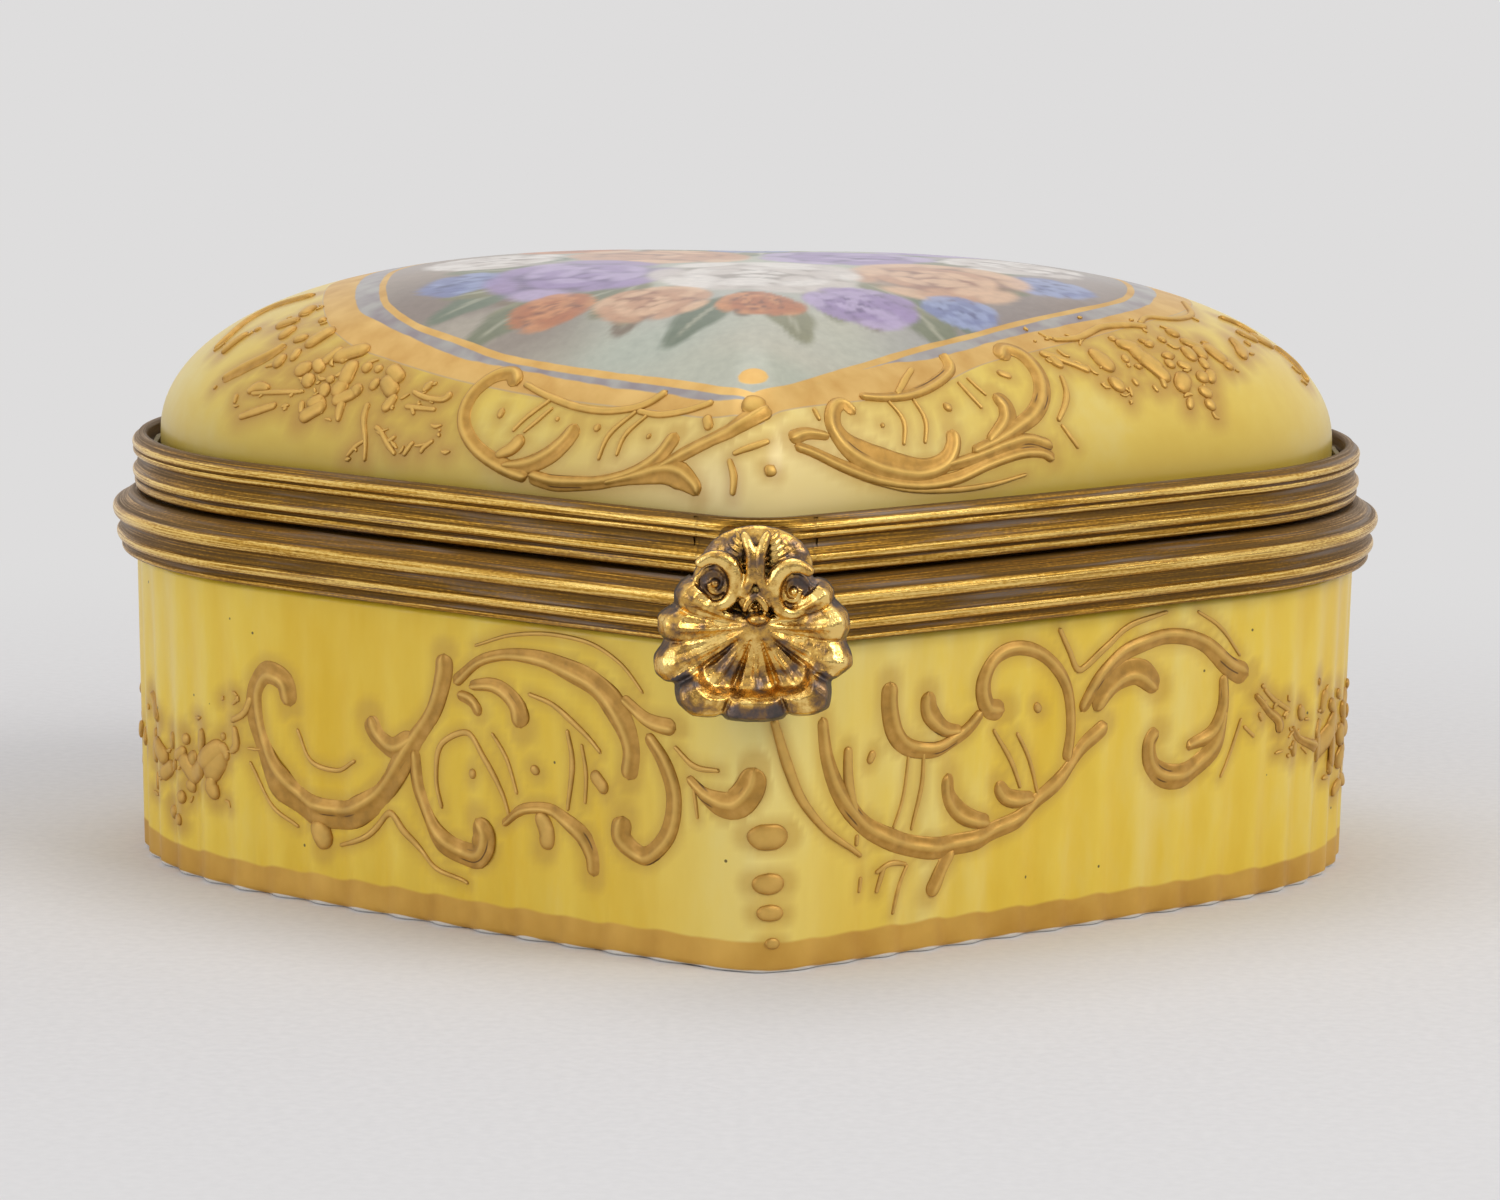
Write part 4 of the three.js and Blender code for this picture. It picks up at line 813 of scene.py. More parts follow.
LID_RIGHT = [
    ((0.5, 0.6, 0.8, 1.1, 1.15, 1.0, 0.8, 0.7, 0.65), [(9.7, 37), (8.8, 37.7), (7.9, 37.5), (7.6, 36.5),
     (8.5, 35.3), (10.2, 34.3), (12.6, 33.5), (15, 33.1), (17, 33.5), (18, 34.5), (18.2, 35.6)]),
    ((0.24, 0.18), [(6, 37.6), (6.4, 36.8)]), ((0.6, 0.5, 0.35), [(3.6, 35.8), (5.1, 36.1), (7.1, 35.8)]),
    ((0.4, 0.5, 0.5, 0.5, 0.45), [(4, 35.4), (5.6, 34.9), (8.5, 33.7), (11.6, 32.7), (15, 32.2), (18, 32.4),
     (21, 33.2), (24, 33.7), (26, 33.6), (27, 33)]),
    ((0.4, 0.5, 0.55, 0.6), [(17, 33.2), (20, 33.6), (23, 34.2), (25, 34.4), (27, 33.8)]),
    ((0.7, 0.8, 0.75, 0.75, 0.7, 0.6, 0.5, 0.4), [(26.2, 39.6), (27.6, 40.2), (28.8, 39.8), (28.9, 38.7),
     (28, 37.4), (26.4, 36.2), (24.4, 35.4), (22, 34.6), (19.6, 34)]),
    ((0.65, 0.8, 0.75, 0.5), [(23.3, 37.6), (23.9, 36.7), (23.3, 35.6), (21.2, 34.4)]),
    ((0.35, 0.45, 0.5, 0.5), [(10.4, 38.1), (13, 37.9), (15.5, 38), (18, 38.5), (20.3, 39.3), (20.6, 40.2)]),
    ((0.25, 0.3, 0.25), [(14, 38), (15.4, 38.9), (16.6, 39.5)]),
    ((0.14, 0.22, 0.14), [(13, 37.7), (14, 36.4), (13.6, 34.8)]),
    ((0.14, 0.22, 0.14), [(15.4, 37.7), (16, 36.3), (15.5, 34.8)]),
    ((0.14, 0.22, 0.14), [(20.4, 38.5), (21, 37.6), (21.6, 36.7)]),
    ((0.12, 0.18, 0.12), [(21.5, 38.7), (22.5, 37.5)]), *dots(0.42, (12, 36.2), (18.4, 37), (25.4, 38.7)),
    ((0.2, 0.28, 0.2), [(31, 38.4), (30.1, 37), (28.2, 35.5)]),
    ((0.14, 0.2, 0.14), [(28.4, 35.3), (29.4, 33.6)]),
    ((0.12, 0.22, 0.22, 0.12), [(10.6, 32.6), (13.6, 31.9), (17.4, 31.6), (21, 31.7), (24.4, 32.2)])
]
LID_SPRAY_LEFT = [
    ((0.35, 0.6, 0.8, 0.85, 0.6), [(-60, 37.5), (-61.5, 38.5), (-64, 39.5), (-65, 40.5), (-63, 41.5)]),
    ((0.4, 0.65, 0.65, 0.4), [(-53, 36), (-51.5, 37), (-50, 38), (-49.5, 38.8)]),
    ((0.35, 0.6, 0.35), [(-57.5, 37.5), (-58, 38.3), (-58, 39)]),
    ((0.25, 0.5, 0.25), [(-48.5, 35.5), (-47.8, 36), (-46.3, 36)]),
    ((0.18, 0.24, 0.18), [(-48, 35.5), (-45.5, 35.8), (-43, 36)]),
    ((0.25, 0.35, 0.3), [(-48, 33.8), (-46, 34.5), (-44.5, 35)]),
    ((0.4, 0.4, 0.22), [(-38.5, 35.8), (-38.3, 35), (-38, 34.3)]),
    ((0.3, 0.5, 0.4), [(-33.8, 36.5), (-34, 36), (-34.3, 35.3)]),
    ((0.25, 0.3, 0.22, 0.2, 0.14), [(-36, 35.8), (-35.8, 34.8), (-35, 33.3), (-34.8, 32.3), (-34.8, 31.8)]),
    ((0.14, 0.2, 0.14), [(-35, 33.3), (-35.8, 32.8), (-36.5, 32)]),
    ((0.22, 0.22, 0.28, 0.18), [(-34.5, 34.3), (-33.8, 34), (-33, 33.3), (-32, 32.5)]),
    ((0.22, 0.16), [(-33, 33.3), (-32.3, 33.8)]),
    ((0.18, 0.25, 0.25, 0.35), [(-32.5, 36.8), (-31, 36.5), (-29.3, 36.5), (-28.8, 37)]),
    ((0.2, 0.4, 0.22), [(-31.5, 36.8), (-31.3, 37.3), (-31, 37.5)]),
    ((0.22, 0.22, 0.18), [(-32.5, 35.8), (-31, 35.8), (-29.5, 35.8)]),
    ((0.2, 0.16), [(-31.8, 35.8), (-31.3, 35.3)]),
    ((0.18, 0.24, 0.16), [(-31.3, 32.5), (-30.8, 33.3), (-30.5, 33.5)]),
    ((0.18, 0.22, 0.16), [(-29.8, 32.8), (-29.5, 33.3), (-28.8, 33.8)]),
    *dots(0.22, (-28.5, 34.5), (-49.5, 35), (-43.5, 34.8)),
    *dots(0.6, (-57.5, 39.3), (-54.5, 40), (-49, 39.3), (-47, 39.5), (-48, 37.8), (-47, 38.3), (-55.5, 40.8),
     (-43, 38.5), (-41.5, 38.8), (-52, 39.5), (-50.5, 40.5), (-44.5, 37.5), (-43.3, 37.8), (-41.5, 38.3),
     (-43, 36.8), (-41, 37), (-39.8, 37.5), (-38.5, 38), (-37.3, 38), (-35.3, 37.8), (-40.8, 36.3),
     (-39.5, 36.5), (-37.8, 36.5), (-36.5, 37), (-35, 37), (-38.5, 36)),
    *dots(0.5, (-42, 35), (-41, 35.5), (-40.3, 35.5), (-40.8, 34.8))
]
LID_SPRAY_RIGHT = [
    ((0.35, 0.4, 0.25, 0.4), [(30.8, 39.8), (32, 39.5), (33, 39), (34.3, 38.5)]),
    ((0.3, 0.5, 0.3), [(31.3, 39.5), (31.5, 39.3), (31.8, 38.8)]),
    ((0.5, 0.8, 0.65), [(36.5, 39.8), (36.5, 39), (36.5, 38.3)]),
    ((0.4, 0.65, 0.5), [(35.5, 38), (35.8, 37.5), (36, 37)]), ((0.3, 0.35), [(39.3, 39.3), (38.8, 38.8)]),
    ((0.22, 0.28), [(37.8, 37.8), (37.8, 37.3)]), ((0.2, 0.2), [(39.3, 37.3), (39.3, 36.8)]),
    ((0.25, 0.28), [(40.8, 37.8), (40.3, 37)]), ((0.4, 0.5, 0.45), [(43.5, 36.8), (44, 36.5), (44.5, 36.3)]),
    ((0.5, 0.45, 0.35), [(43.3, 36), (43.5, 35.8), (43.8, 35.3)]),
    ((0.25, 0.38, 0.3), [(42, 36.3), (41.8, 36), (41.3, 35.5)]),
    ((0.4, 0.65, 0.65, 0.45), [(55.8, 39.5), (54.5, 38.8), (53.5, 38.5), (52.8, 38.3)]),
    ((0.25, 0.3, 0.3, 0.3, 0.25), [(46.5, 41), (49.5, 41.3), (53, 41), (57.3, 41), (61, 41.3), (64, 41.5)]),
    ((0.35, 0.4, 0.45), [(62.8, 40.5), (63.8, 39.8), (62.8, 39)]),
    ((0.55, 0.8, 0.7, 0.35), [(63.5, 38.3), (63.5, 37), (62.5, 36.3), (61.8, 35.8)]),
    ((0.25, 0.35, 0.35, 0.4, 0.35), [(33.8, 40.5), (36.8, 40.5), (41.3, 41), (45, 41), (46.8, 40.8)]),
    *dots(0.25, (31.8, 40.5)), *dots(0.7, (57.5, 39), (62, 38.8), (60, 39.3)),
    *dots(0.62, (40.5, 40.3), (41, 39.8), (43.3, 40), (41, 39.3), (43.5, 39.8), (45.8, 40), (48.5, 40.3),
     (48.5, 39.5), (43.8, 39), (41.3, 38.8), (39.5, 38.5), (41, 38.3), (43, 38.5), (44.3, 38.3), (48, 39),
     (50.5, 39.5), (49.8, 38.8), (49.5, 38), (46.8, 38.3), (45, 37.5), (46, 37.5), (42.5, 37.3), (46.5, 39))
]


def turned(strokes, pivot, keep):
    """The same ornament mirrored about a place on the wall, for the back of a lobe"""
    return [(widths, [(2 * pivot - s, z) for s, z in points]) for widths, points in strokes
            if all(keep(2 * pivot - s) for s, _ in points)]


def gild(name, strokes, surface, body, material):
    """Raises strokes of gilding as one piece"""
    height, rng = mm(bpy.context.scene.heart_box_sizes.bead_height), random.Random(name)
    nets = [bead_net(points, widths, surface, height, rng.choice((-0.3, 0.0, 0.3)))
            for widths, points in strokes]
    points, faces, values = joined_nets(nets)
    return make_piece(name, points, faces, body, material, values)


def stain_under(piece, groups, surface):
    """Marks the glaze beside the raised gold, where the gold bled into it. Each group is its strokes, how
    strong the stain is at their edge, and how far it reaches in millimetres."""
    mesh = piece.data
    stain = np.zeros(len(mesh.vertices))
    for strokes, strength, reach in groups:
        paths = [flow(points, widths, surface, 0.5) for widths, points in strokes]
        centres = np.vstack([to_frame(path[0]) for path in paths])
        broad = np.concatenate([path[3] for path in paths])
        near, away = nearest(centres, [vertex.co for vertex in mesh.vertices])
        stain = np.maximum(stain, strength * np.clip(1 - (away / MM - broad[near]) / reach, 0, 1))
    mesh.attributes.new("stain", "FLOAT", "POINT").data.foreach_set("value", stain)


class HEARTBOX_OT_stage(bpy.types.Operator):
    """Sets the camera, the pale floor, the room and the studio lights"""

    bl_idname = "heartbox.stage"
    bl_label = "Stage"

    def execute(self, context):
        stage, scene = context.scene.heart_box_stage, context.scene
        level = math.cos(stage.pitch)
        forward = Vector((math.sin(stage.yaw) * level, math.cos(stage.yaw) * level, -math.sin(stage.pitch)))
        right = Vector((math.cos(stage.yaw), -math.sin(stage.yaw), 0))
        up = right.cross(forward)
        across = right * math.cos(stage.roll) + up * math.sin(stage.roll)
        upright = up * math.cos(stage.roll) - right * math.sin(stage.roll)
        camera = bpy.data.objects.new("camera", bpy.data.cameras.new("camera"))
        camera.data.lens, camera.data.sensor_width, camera.data.sensor_fit = stage.lens, 36.0, "HORIZONTAL"
        camera.data.clip_start, camera.data.clip_end = 0.01, 20.0
        axes = Matrix((across, upright, -forward)).transposed().to_4x4()
        where = (-stage.aside, -stage.distance - FRAME_SHIFT * MM, stage.height)
        camera.matrix_world = Matrix.Translation(where) @ axes
        scene.collection.objects.link(camera)
        scene.camera = camera
        scene.view_settings.view_transform = "Standard"
        self.floor(scene)
        self.room(scene, stage)
        middle = Vector((0, 0, 0.02))
        # Place and size in metres, share of full light, and colour
        lamps = [("key_light", (0.42, -0.3, 0.42), (0.34, 0.3), stage.key, "#FFFDF8"),
                 ("fill_light", (-0.55, -0.42, 0.22), (0.45, 0.4), stage.fill, "#F4F7FF"),
                 ("top_light", (-0.08, 0.12, 0.6), (0.5, 0.35), stage.top, "#FFFFFF")]
        for name, place, (width, depth), share, code in lamps:
            lamp = bpy.data.lights.new(name, "AREA")
            lamp.shape, lamp.size, lamp.size_y = "RECTANGLE", width, depth
            aim = middle - Vector(place)
            # A lamp at this distance lights a facing surface to its share of full white
            lamp.energy = share * math.pi**2 * aim.length_squared
            lamp.color = linear(code)[:3]
            holder = bpy.data.objects.new(name, lamp)
            turn = aim.to_track_quat("-Z", "Y").to_matrix().to_4x4()
            holder.matrix_world = Matrix.Translation(place) @ turn
            scene.collection.objects.link(holder)
        return {"FINISHED"}

    def floor(self, scene):
        """White table paper that fades into the pale room with distance"""
        mesh = bpy.data.meshes.new("floor")
        half = 4.0
        corners = [(-half, -half, 0), (half, -half, 0), (half, half, 0), (-half, half, 0)]
        mesh.from_pydata(corners, [], [(0, 1, 2, 3)])
        material, tree, place = new_material("matt_table_paper")
        distance = add(tree, "VectorMath", {0: place}, operation="LENGTH").outputs["Value"]
        grain = add(tree, "TexNoise", {"Vector": place, "Scale": per_size(0.8), "Detail": 3.0})
        paper = add(tree, "ValToRGB", {0: grain}, stops=[(0.3, "#DEDCDD"), (0.7, "#E4E2E3")])
        lit = add(tree, "BsdfDiffuse", {"Color": paper})
        glow = add(tree, "Emission", {"Color": "#DEDDDD"})
        path = add(tree, "LightPath").outputs
        seen = add(tree, "Math", {0: path["Is Camera Ray"], 1: path["Is Glossy Ray"]}, operation="MAXIMUM")
        seen = add(tree, "Math", {0: seen, 1: path["Is Transmission Ray"]}, operation="MAXIMUM")
        far = add(tree, "MapRange", {"Value": distance, "From Min": 0.045, "From Max": 0.17},
                  interpolation_type="SMOOTHSTEP")
        share = add(tree, "Math", {0: far, 1: seen}, operation="MULTIPLY")
        surface = add(tree, "MixShader", {0: share, 1: lit, 2: glow})
        add(tree, "OutputMaterial", {"Surface": surface})
        mesh.materials.append(material)
        floor = bpy.data.objects.new("floor", mesh)
        scene.collection.objects.link(floor)

    def room(self, scene, stage):
        """Pale room: its own colour where it is seen or mirrored, and a soft light elsewhere"""
        world = bpy.data.worlds.new("pale_room")
        world.use_nodes = True
        tree = world.node_tree
        tree.nodes.clear()
        path = add(tree, "LightPath").outputs
        seen = add(tree, "Math", {0: path["Is Camera Ray"], 1: path["Is Transmission Ray"]},
                   operation="MAXIMUM")
        shown = add(tree, "Background", {"Color": "#DEDDDD"})
        light = add(tree, "Background", {"Color": "#FFFFFF", "Strength": stage.room})
        # Mirrored, the room is dim in front of the box near the table, and bright behind it and above
        way = add(tree, "TexCoord").outputs["Generated"]
        way = add(tree, "SeparateXYZ", {0: way}).outputs
        behind = add(tree, "MapRange", {"Value": way["Y"], "From Min": -0.8, "From Max": 0.1})
        above = add(tree, "MapRange", {"Value": way["Z"], "From Min": 0.15, "From Max": 0.6})
        level = add(tree, "Math", {0: behind, 1: above}, operation="MAXIMUM")
        mirrored = add(tree, "ValToRGB", {0: level}, stops=[(0.0, "#8A8580"), (1.0, "#F4F4F4")])
        mirrored = add(tree, "Background", {"Color": mirrored})
        mixed = add(tree, "MixShader", {0: path["Is Glossy Ray"], 1: light, 2: mirrored})
        mixed = add(tree, "MixShader", {0: seen, 1: mixed, 2: shown})
        add(tree, "OutputWorld", {"Surface": mixed})
        scene.world = world


def column(rows, count, index):
    """One value of each row, repeated round its ring"""
    return np.repeat([row[index] for row in rows], count)


class HEARTBOX_OT_body(bpy.types.Operator):
    """Moulds the fluted porcelain body, glazed inside, with its recessed foot"""

    bl_idname = "heartbox.body"
    bl_label = "Porcelain body"

    def execute(self, context):
        heart, s = body_heart(), body_heart().stations(0.5, 0.22)
        taper = mm(context.scene.heart_box_sizes.foot_taper)
        wall_top, rim_top, rebate, wall, floor, fillet = 22.3, 24.9, 0.9, 3.3, 3.6, 2.4
        edge, foot_rim, recess = 0.5, 3.4, 0.8
        foot = -taper - edge
        # Offset from the plan, height, and 1 where the porcelain is bare of enamel
        under = [(foot - foot_rim - 0.4, recess, 1), (foot - foot_rim, 0.05, 1),
                 (foot - foot_rim + 0.2, 0, 1), (foot - 0.1, 0, 1)]
        inner = -wall - taper
        turn = [math.radians(a) for a in range(0, 91, 15)]
        inside = [(-rebate, wall_top, 1), (-rebate, rim_top, 1), (-wall, rim_top, 1),
                  (-wall - 0.1, rim_top - 0.3, 1)]
        inside += [(inner, floor + fillet + h, 1) for h in (12, 6, 2)]
        inside += [(inner - fillet * (1 - math.cos(a)), floor + fillet * (1 - math.sin(a)), 1) for a in turn]
        rings = [self.plain(heart, s, o, z) for o, z, _ in under]
        foot_arc = [math.radians(a) for a in (0, 25, 50, 75)]
        heights = [edge - edge * math.cos(a) for a in foot_arc] + list(np.linspace(edge, wall_top, 46))
        for z in heights:
            tuck = edge * (1 - math.sqrt(max(1 - ((edge - min(z, edge)) / edge) ** 2, 0)))
            rings.append(wall_rim(s, np.full(len(s), z), -tuck))
        rings += [self.plain(heart, s, o, z) for o, z, _ in inside]
        points, faces = skin(rings)
        plain = [1] * len(under) + [0] * len(heights) + [1] * len(inside)
        wave = flute_wave(s, heart)
        flute = np.concatenate([wave if not bare else np.ones(len(s)) for bare in plain])
        # The enamel thins out near the front corner
        thin_reach = 7
        pale = 0.5 * np.exp(-((np.abs(np.tile(s, len(plain))) / thin_reach) ** 1.5))
        values = {"up": points[:, 2], "plain": np.repeat(plain, len(s)), "flute": flute, "pale": pale}
        # The middle points of the two caps are bare too
        values = {name: np.concatenate([v, [1, 1]]) if len(v) < len(points) else v
                  for name, v in values.items()}
        piece = make_piece("porcelain_body", points, faces, "base",
                           glazed_body_porcelain(), values)
        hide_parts("base_box")
        return {"FINISHED"}

    def plain(self, heart, s, offset, z):
        """A ring without flutes"""
        return np.column_stack([heart.points(s, offset), np.full(len(s), z)])


def dab(canvas, place, centre, size, turn, colour, soft=0.35, strength=1.0):
    """Lays an elliptical touch of enamel on the canvas, softened at its edge"""
    offset = place - np.array(centre)
    c, q = math.cos(turn), math.sin(turn)
    u = (offset[:, 0] * c + offset[:, 1] * q) / size[0]
    v = (offset[:, 1] * c - offset[:, 0] * q) / size[1]
    reach = np.sqrt(u**2 + v**2)
    cover = np.clip((1 + soft / 2 - reach) / soft, 0, 1)
    cover = strength * cover * cover * (3 - 2 * cover)
    canvas += (np.array(linear(colour)[:3]) - canvas) * cover[:, None]


def moved(point, turn, distance):
    """The place at a distance from a point, in one direction"""
    return point[0] + math.cos(turn) * distance, point[1] + math.sin(turn) * distance


def paint_leaf(canvas, place, root, turn, length, code, vein):
    """A pointed leaf: two overlapping touches and a pale vein"""
    for shift, share in ((0.32, 0.2), (0.55, 0.24), (0.78, 0.15)):
        size = (length * 0.34, length * share)
        dab(canvas, place, moved(root, turn, length * shift), size, turn, code, 0.4)
    dab(canvas, place, moved(root, turn, length * 0.5), (length * 0.42, 0.22), turn, vein, 0.8, 0.6)


def paint_bloom(canvas, place, rng, centre, radius, codes):
    """A full flower of loose petals, laid from the outside in, each a deep touch under a paler one"""
    pale, middle, deep = codes
    dab(canvas, place, centre, (radius * 0.85, radius * 0.8), 0, deep, 0.5, 0.8)
    for ring, count in ((0.85, 9), (0.58, 7), (0.34, 5), (0.12, 3)):
        for k in range(count):
            angle = math.tau * (k + rng.uniform(-0.3, 0.3)) / count + ring * 5
            reach = radius * ring * rng.uniform(0.85, 1.08)
            at = moved(centre, angle, reach)
            petal = radius * rng.uniform(0.22, 0.28) * (0.7 + 0.8 * ring)
            dab(canvas, place, at, (petal * 0.75, petal * 1.25), angle, deep, 0.6, 0.45)
            dab(canvas, place, moved(at, angle, petal * 0.25), (petal * 0.55, petal * 1.1), angle,
                rng.choice((pale, middle)), 0.6, 0.8)


def paint_posy(place, seed):
    """A posy in soft enamels: cream, lilac and salmon flowers over grey-green leaves on a misty ground"""
    rng = random.Random(seed)
    canvas = np.tile(np.array(linear("#B4B5A4")[:3]), (len(place), 1))
    # Warm brown mist fills both sides and the back
    for side in (-1, 1):
        for _ in range(30):
            at = (side * rng.uniform(15, 30), rng.uniform(20, 62))
            code = rng.choice(["#85766C", "#937F70", "#7C6C62", "#8A7C78"])
            size, turn = (rng.uniform(5, 9), rng.uniform(3, 6)), rng.uniform(-0.5, 0.5)
            dab(canvas, place, at, size, turn, code, 1.3, 0.6)
    for _ in range(40):
        code = rng.choice(["#A8B4AA", "#BDB8A8", "#A9A6AC", "#C2BAA8"])
        at = (rng.uniform(-24, 24), rng.uniform(8, 60))
        dab(canvas, place, at, (rng.uniform(3, 8), rng.uniform(2, 4)), rng.uniform(-0.4, 0.4), code, 1.3, 0.3)
    # Leaves spread outwards from the middle of the posy
    for k in range(46):
        turn = math.tau * k / 46 + rng.uniform(-0.2, 0.2)
        out = rng.uniform(0.55, 1.0)
        root = (17 * out * math.cos(turn), 35 + 13.5 * out * math.sin(turn))
        code = rng.choice(["#75785F", "#7F7C5F", "#868468", "#6A7460", "#7C6C5A"])
        paint_leaf(canvas, place, root, turn + rng.uniform(-0.5, 0.5), rng.uniform(5, 8), code, "#B4B09A")
    lilac, salmon, cream = (("#BBA8CB", "#9F88B4", "#6F5A88"), ("#E0B894", "#C99A78", "#9A664C"),
                            ("#EAE3DC", "#D4CAC2", "#9C8E86"))
    blue, rust = ("#98A2C6", "#7C84AE", "#555A84"), ("#D08E5E", "#B87248", "#844A30")
    # Place, radius and colours of each flower
    flowers = (
        (13.5, 52.5, 4, lilac), (-13, 51.5, 3.8, rust), (0, 51, 2.8, blue), (-18.5, 44, 4.6, cream),
        (19, 44.5, 4.8, cream), (7, 44, 5.5, lilac), (-6.5, 44, 5.8, salmon), (-20.5, 35, 2.8, blue),
        (21.5, 36, 2.8, blue), (-12, 34, 6, lilac), (13, 34, 6, salmon), (-14, 25.5, 2.8, rust),
        (14.5, 26, 2.6, blue), (0.5, 31.5, 7.2, cream), (-7, 23.5, 3.8, salmon), (7.5, 23.5, 3.8, lilac),
        (0.5, 20.5, 2.8, rust))
    for x, y, radius, codes in flowers:
        paint_bloom(canvas, place, rng, (x, y), radius, codes)
    return canvas


class HEARTBOX_OT_lid(bpy.types.Operator):
    """Moulds the domed porcelain lid and paints its panel"""

    bl_idname = "heartbox.lid"
    bl_label = "Porcelain lid"

    def execute(self, context):
        size, heart = context.scene.heart_box_sizes, body_heart()
        s = heart.stations(0.5, 0.25)
        spring, rise, inset = mm(size.dome_spring), mm(size.dome_rise), mm(size.lid_inset)
        wall, rim, coarse, fine = 2.6, 28.9, 1.6, 0.55
        inner = -inset - wall
        down = self.angles(rise - wall, coarse)[::-1]
        rings = [self.ring(heart, s, inner, a, spring, rise - wall) for a in down]
        edges = ((inner, spring), (inner, rim + 0.3), (inner + 0.25, rim), (-inset - 0.25, rim),
                 (-inset, rim + 0.25))
        rings += [dome_ring(heart, s, offset, 1.0, z) for offset, z in edges]
        bare = len(rings)
        rings += [dome_ring(heart, s, -inset, 1.0, z) for z in (rim + 1.2, spring - 0.6)]
        rings += [self.ring(heart, s, -inset, a, spring, rise) for a in self.angles(rise, fine)]
        points, faces = skin(rings)
        plain = np.zeros(len(points))
        plain[: bare * len(s)] = 1
        plain[-2] = 1
        outside = np.where(plain == 0)[0]
        xy = points[outside, :2]
        edge, band, line = np.full((3, len(points)), -9.0)
        edge[outside], band[outside] = depth_inside(xy, PANEL_EDGE), depth_inside(xy, FRAME_INSIDE)
        line[outside] = depth_inside(xy, GOLD_THREAD)
        # A drop of gold marks the point of the panel
        drop_centre, drop_size = (-0.2, 8.9), (1.05, 0.75)
        drop = np.full(len(points), 9.0)
        drop[outside] = np.linalg.norm((xy - drop_centre) / drop_size, axis=1) - 1.0
        painting = np.full((len(points), 3), 0.8)
        painting[outside] = paint_posy(xy, 11)
        # Pale towards the front corner, most of all low down: partly thinner enamel, partly a painted
        # highlight
        low = np.clip((40 - points[:, 2]) / 8, 0, 1)
        front = np.clip((30 - points[:, 1]) / 12, 0, 1)
        pale = 0.85 * np.exp(-((points[:, 0] / 11) ** 2)) * front * (0.4 + 0.6 * low)
        values = {"plain": plain, "edge_mm": edge, "frame_mm": band, "line_mm": line, "drop_mm": drop,
                  "pale": pale}
        piece = make_piece("porcelain_lid", points, faces, "lid", glazed_lid_porcelain(),
                           values, {"painting": painting})
        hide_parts("lid_shell")
        return {"FINISHED"}

    def angles(self, rise, step):
        """Angles up the dome's profile at about equal steps along it"""
        a = np.linspace(0, math.pi / 2, 4000)
        shrink = np.cos(a) ** (2 / FULLNESS)
        run = np.cumsum([0, *np.hypot(np.diff(shrink) * MIDDLE_Y, np.diff(np.sin(a)) * rise)])
        return np.interp(np.arange(0, run[-1] - 0.3, step), run, a)

    def ring(self, heart, s, offset, angle, spring, rise):
        """A ring of the dome, at this angle up its profile"""
        return dome_ring(heart, s, offset, math.cos(angle) ** (2 / FULLNESS), spring + rise * math.sin(angle))


class HEARTBOX_OT_gilding(bpy.types.Operator):
    """Raises the gilt scrolls, sprays and corner drops on the body and the lid"""

    bl_idname = "heartbox.gilding"
    bl_label = "Raised gilding"

    def execute(self, context):
        gold = raised_paste_gilding()
        sprays = [strokes + bits(strokes, count, seed) for strokes, count, seed in (
            (BODY_SPRAY_LEFT, 26, 3), (BODY_SPRAY_RIGHT, 26, 4), (LID_SPRAY_LEFT, 46, 5),
            (LID_SPRAY_RIGHT, 46, 6))]
        # At the back each ornament is mirrored about the middle of its side, and keeps clear of the cleft
        body = {"left": BODY_LEFT, "right": BODY_RIGHT, "drops": CORNER_DROPS, "spray_left": sprays[0],
                "spray_right": sprays[1],
                "back_left": turned(BODY_LEFT + sprays[0], -63, lambda s: s > -125),
                "back_right": turned(BODY_RIGHT + sprays[1], 62, lambda s: s < 125)}
        lid = {"left": LID_LEFT, "right": LID_RIGHT, "spray_left": sprays[2], "spray_right": sprays[3],
               "back_left": turned(LID_LEFT, -58, lambda s: s > -116),
               "back_right": turned(LID_RIGHT, 60, lambda s: s < 116)}
        for part, side, surface, ornaments, sprayed, strength, reach in (
                ("body", "base", wall_rim, body, sprays[0] + sprays[1], 0.9, 1.1),
                ("lid", "lid", dome_point, lid, sprays[2] + sprays[3], 0.95, 1.3)):
            for name, strokes in ornaments.items():
                gild(part + "_gilding_" + name, strokes, surface, side, gold)
            every = [stroke for strokes in ornaments.values() for stroke in strokes]
            bleeds = [(every, 0.6, 0.8), (sprayed, strength, reach)]
            stain_under(bpy.data.objects["porcelain_" + part], bleeds, surface)
        return {"FINISHED"}


# Mouldings from the bottom up: height, offset at its start and end, bulge, and darkening, which is tarnish
# with painted shade in the coves and on the sloping top face
BODY_MOULDING = [
    (0.38, 0.95, 1.05, 0.16, 0.16), (0.42, 1.05, 1.20, -0.10, 0.56), (0.72, 1.22, 1.32, 0.26, 0.0),
    (0.95, 1.30, 1.42, -0.10, 0.54), (0.98, 1.46, 1.50, 0.34, 0.0), (0.85, 1.40, 0.25, 0.06, 0.48),
]
LID_MOULDING = [
    (0.62, 0.05, 0.15, 0.10, 0.10), (0.16, 0.12, 0.12, -0.10, 0.7), (0.62, 0.15, 0.20, 0.18, 0.0),
    (0.40, 0.14, 0.05, -0.02, 0.40), (0.62, 0.03, 0.05, -0.14, 0.60), (0.45, 0.12, 0.22, 0.16, 0.0),
    (0.10, 0.22, 0.22, -0.05, 0.55), (0.58, 0.22, 0.14, 0.20, 0.0), (0.35, 0.12, -0.15, 0.02, 0.5)
]


def moulding_rows(steps, low):
    """Offset, height and darkening of each row up a moulding: tarnish with painted shade. The darkening
    creeps in over the edges of a bead, painted shade where the bead turns away.
    """
    rows, z = [], low
    for height, start, end, bulge, tarnish in steps:
        count = max(round(height / 0.06), 4)
        for i in range(count):
            t = (i + 0.5) / count
            offset = start + (end - start) * t + bulge * math.sqrt(1 - (2 * t - 1) ** 2)
            creep = 0.45 * (2 * t - 1) ** 4 if bulge > 0 else 0
            rows.append((offset, z + height * t, tarnish + creep))
        z += height
    return rows


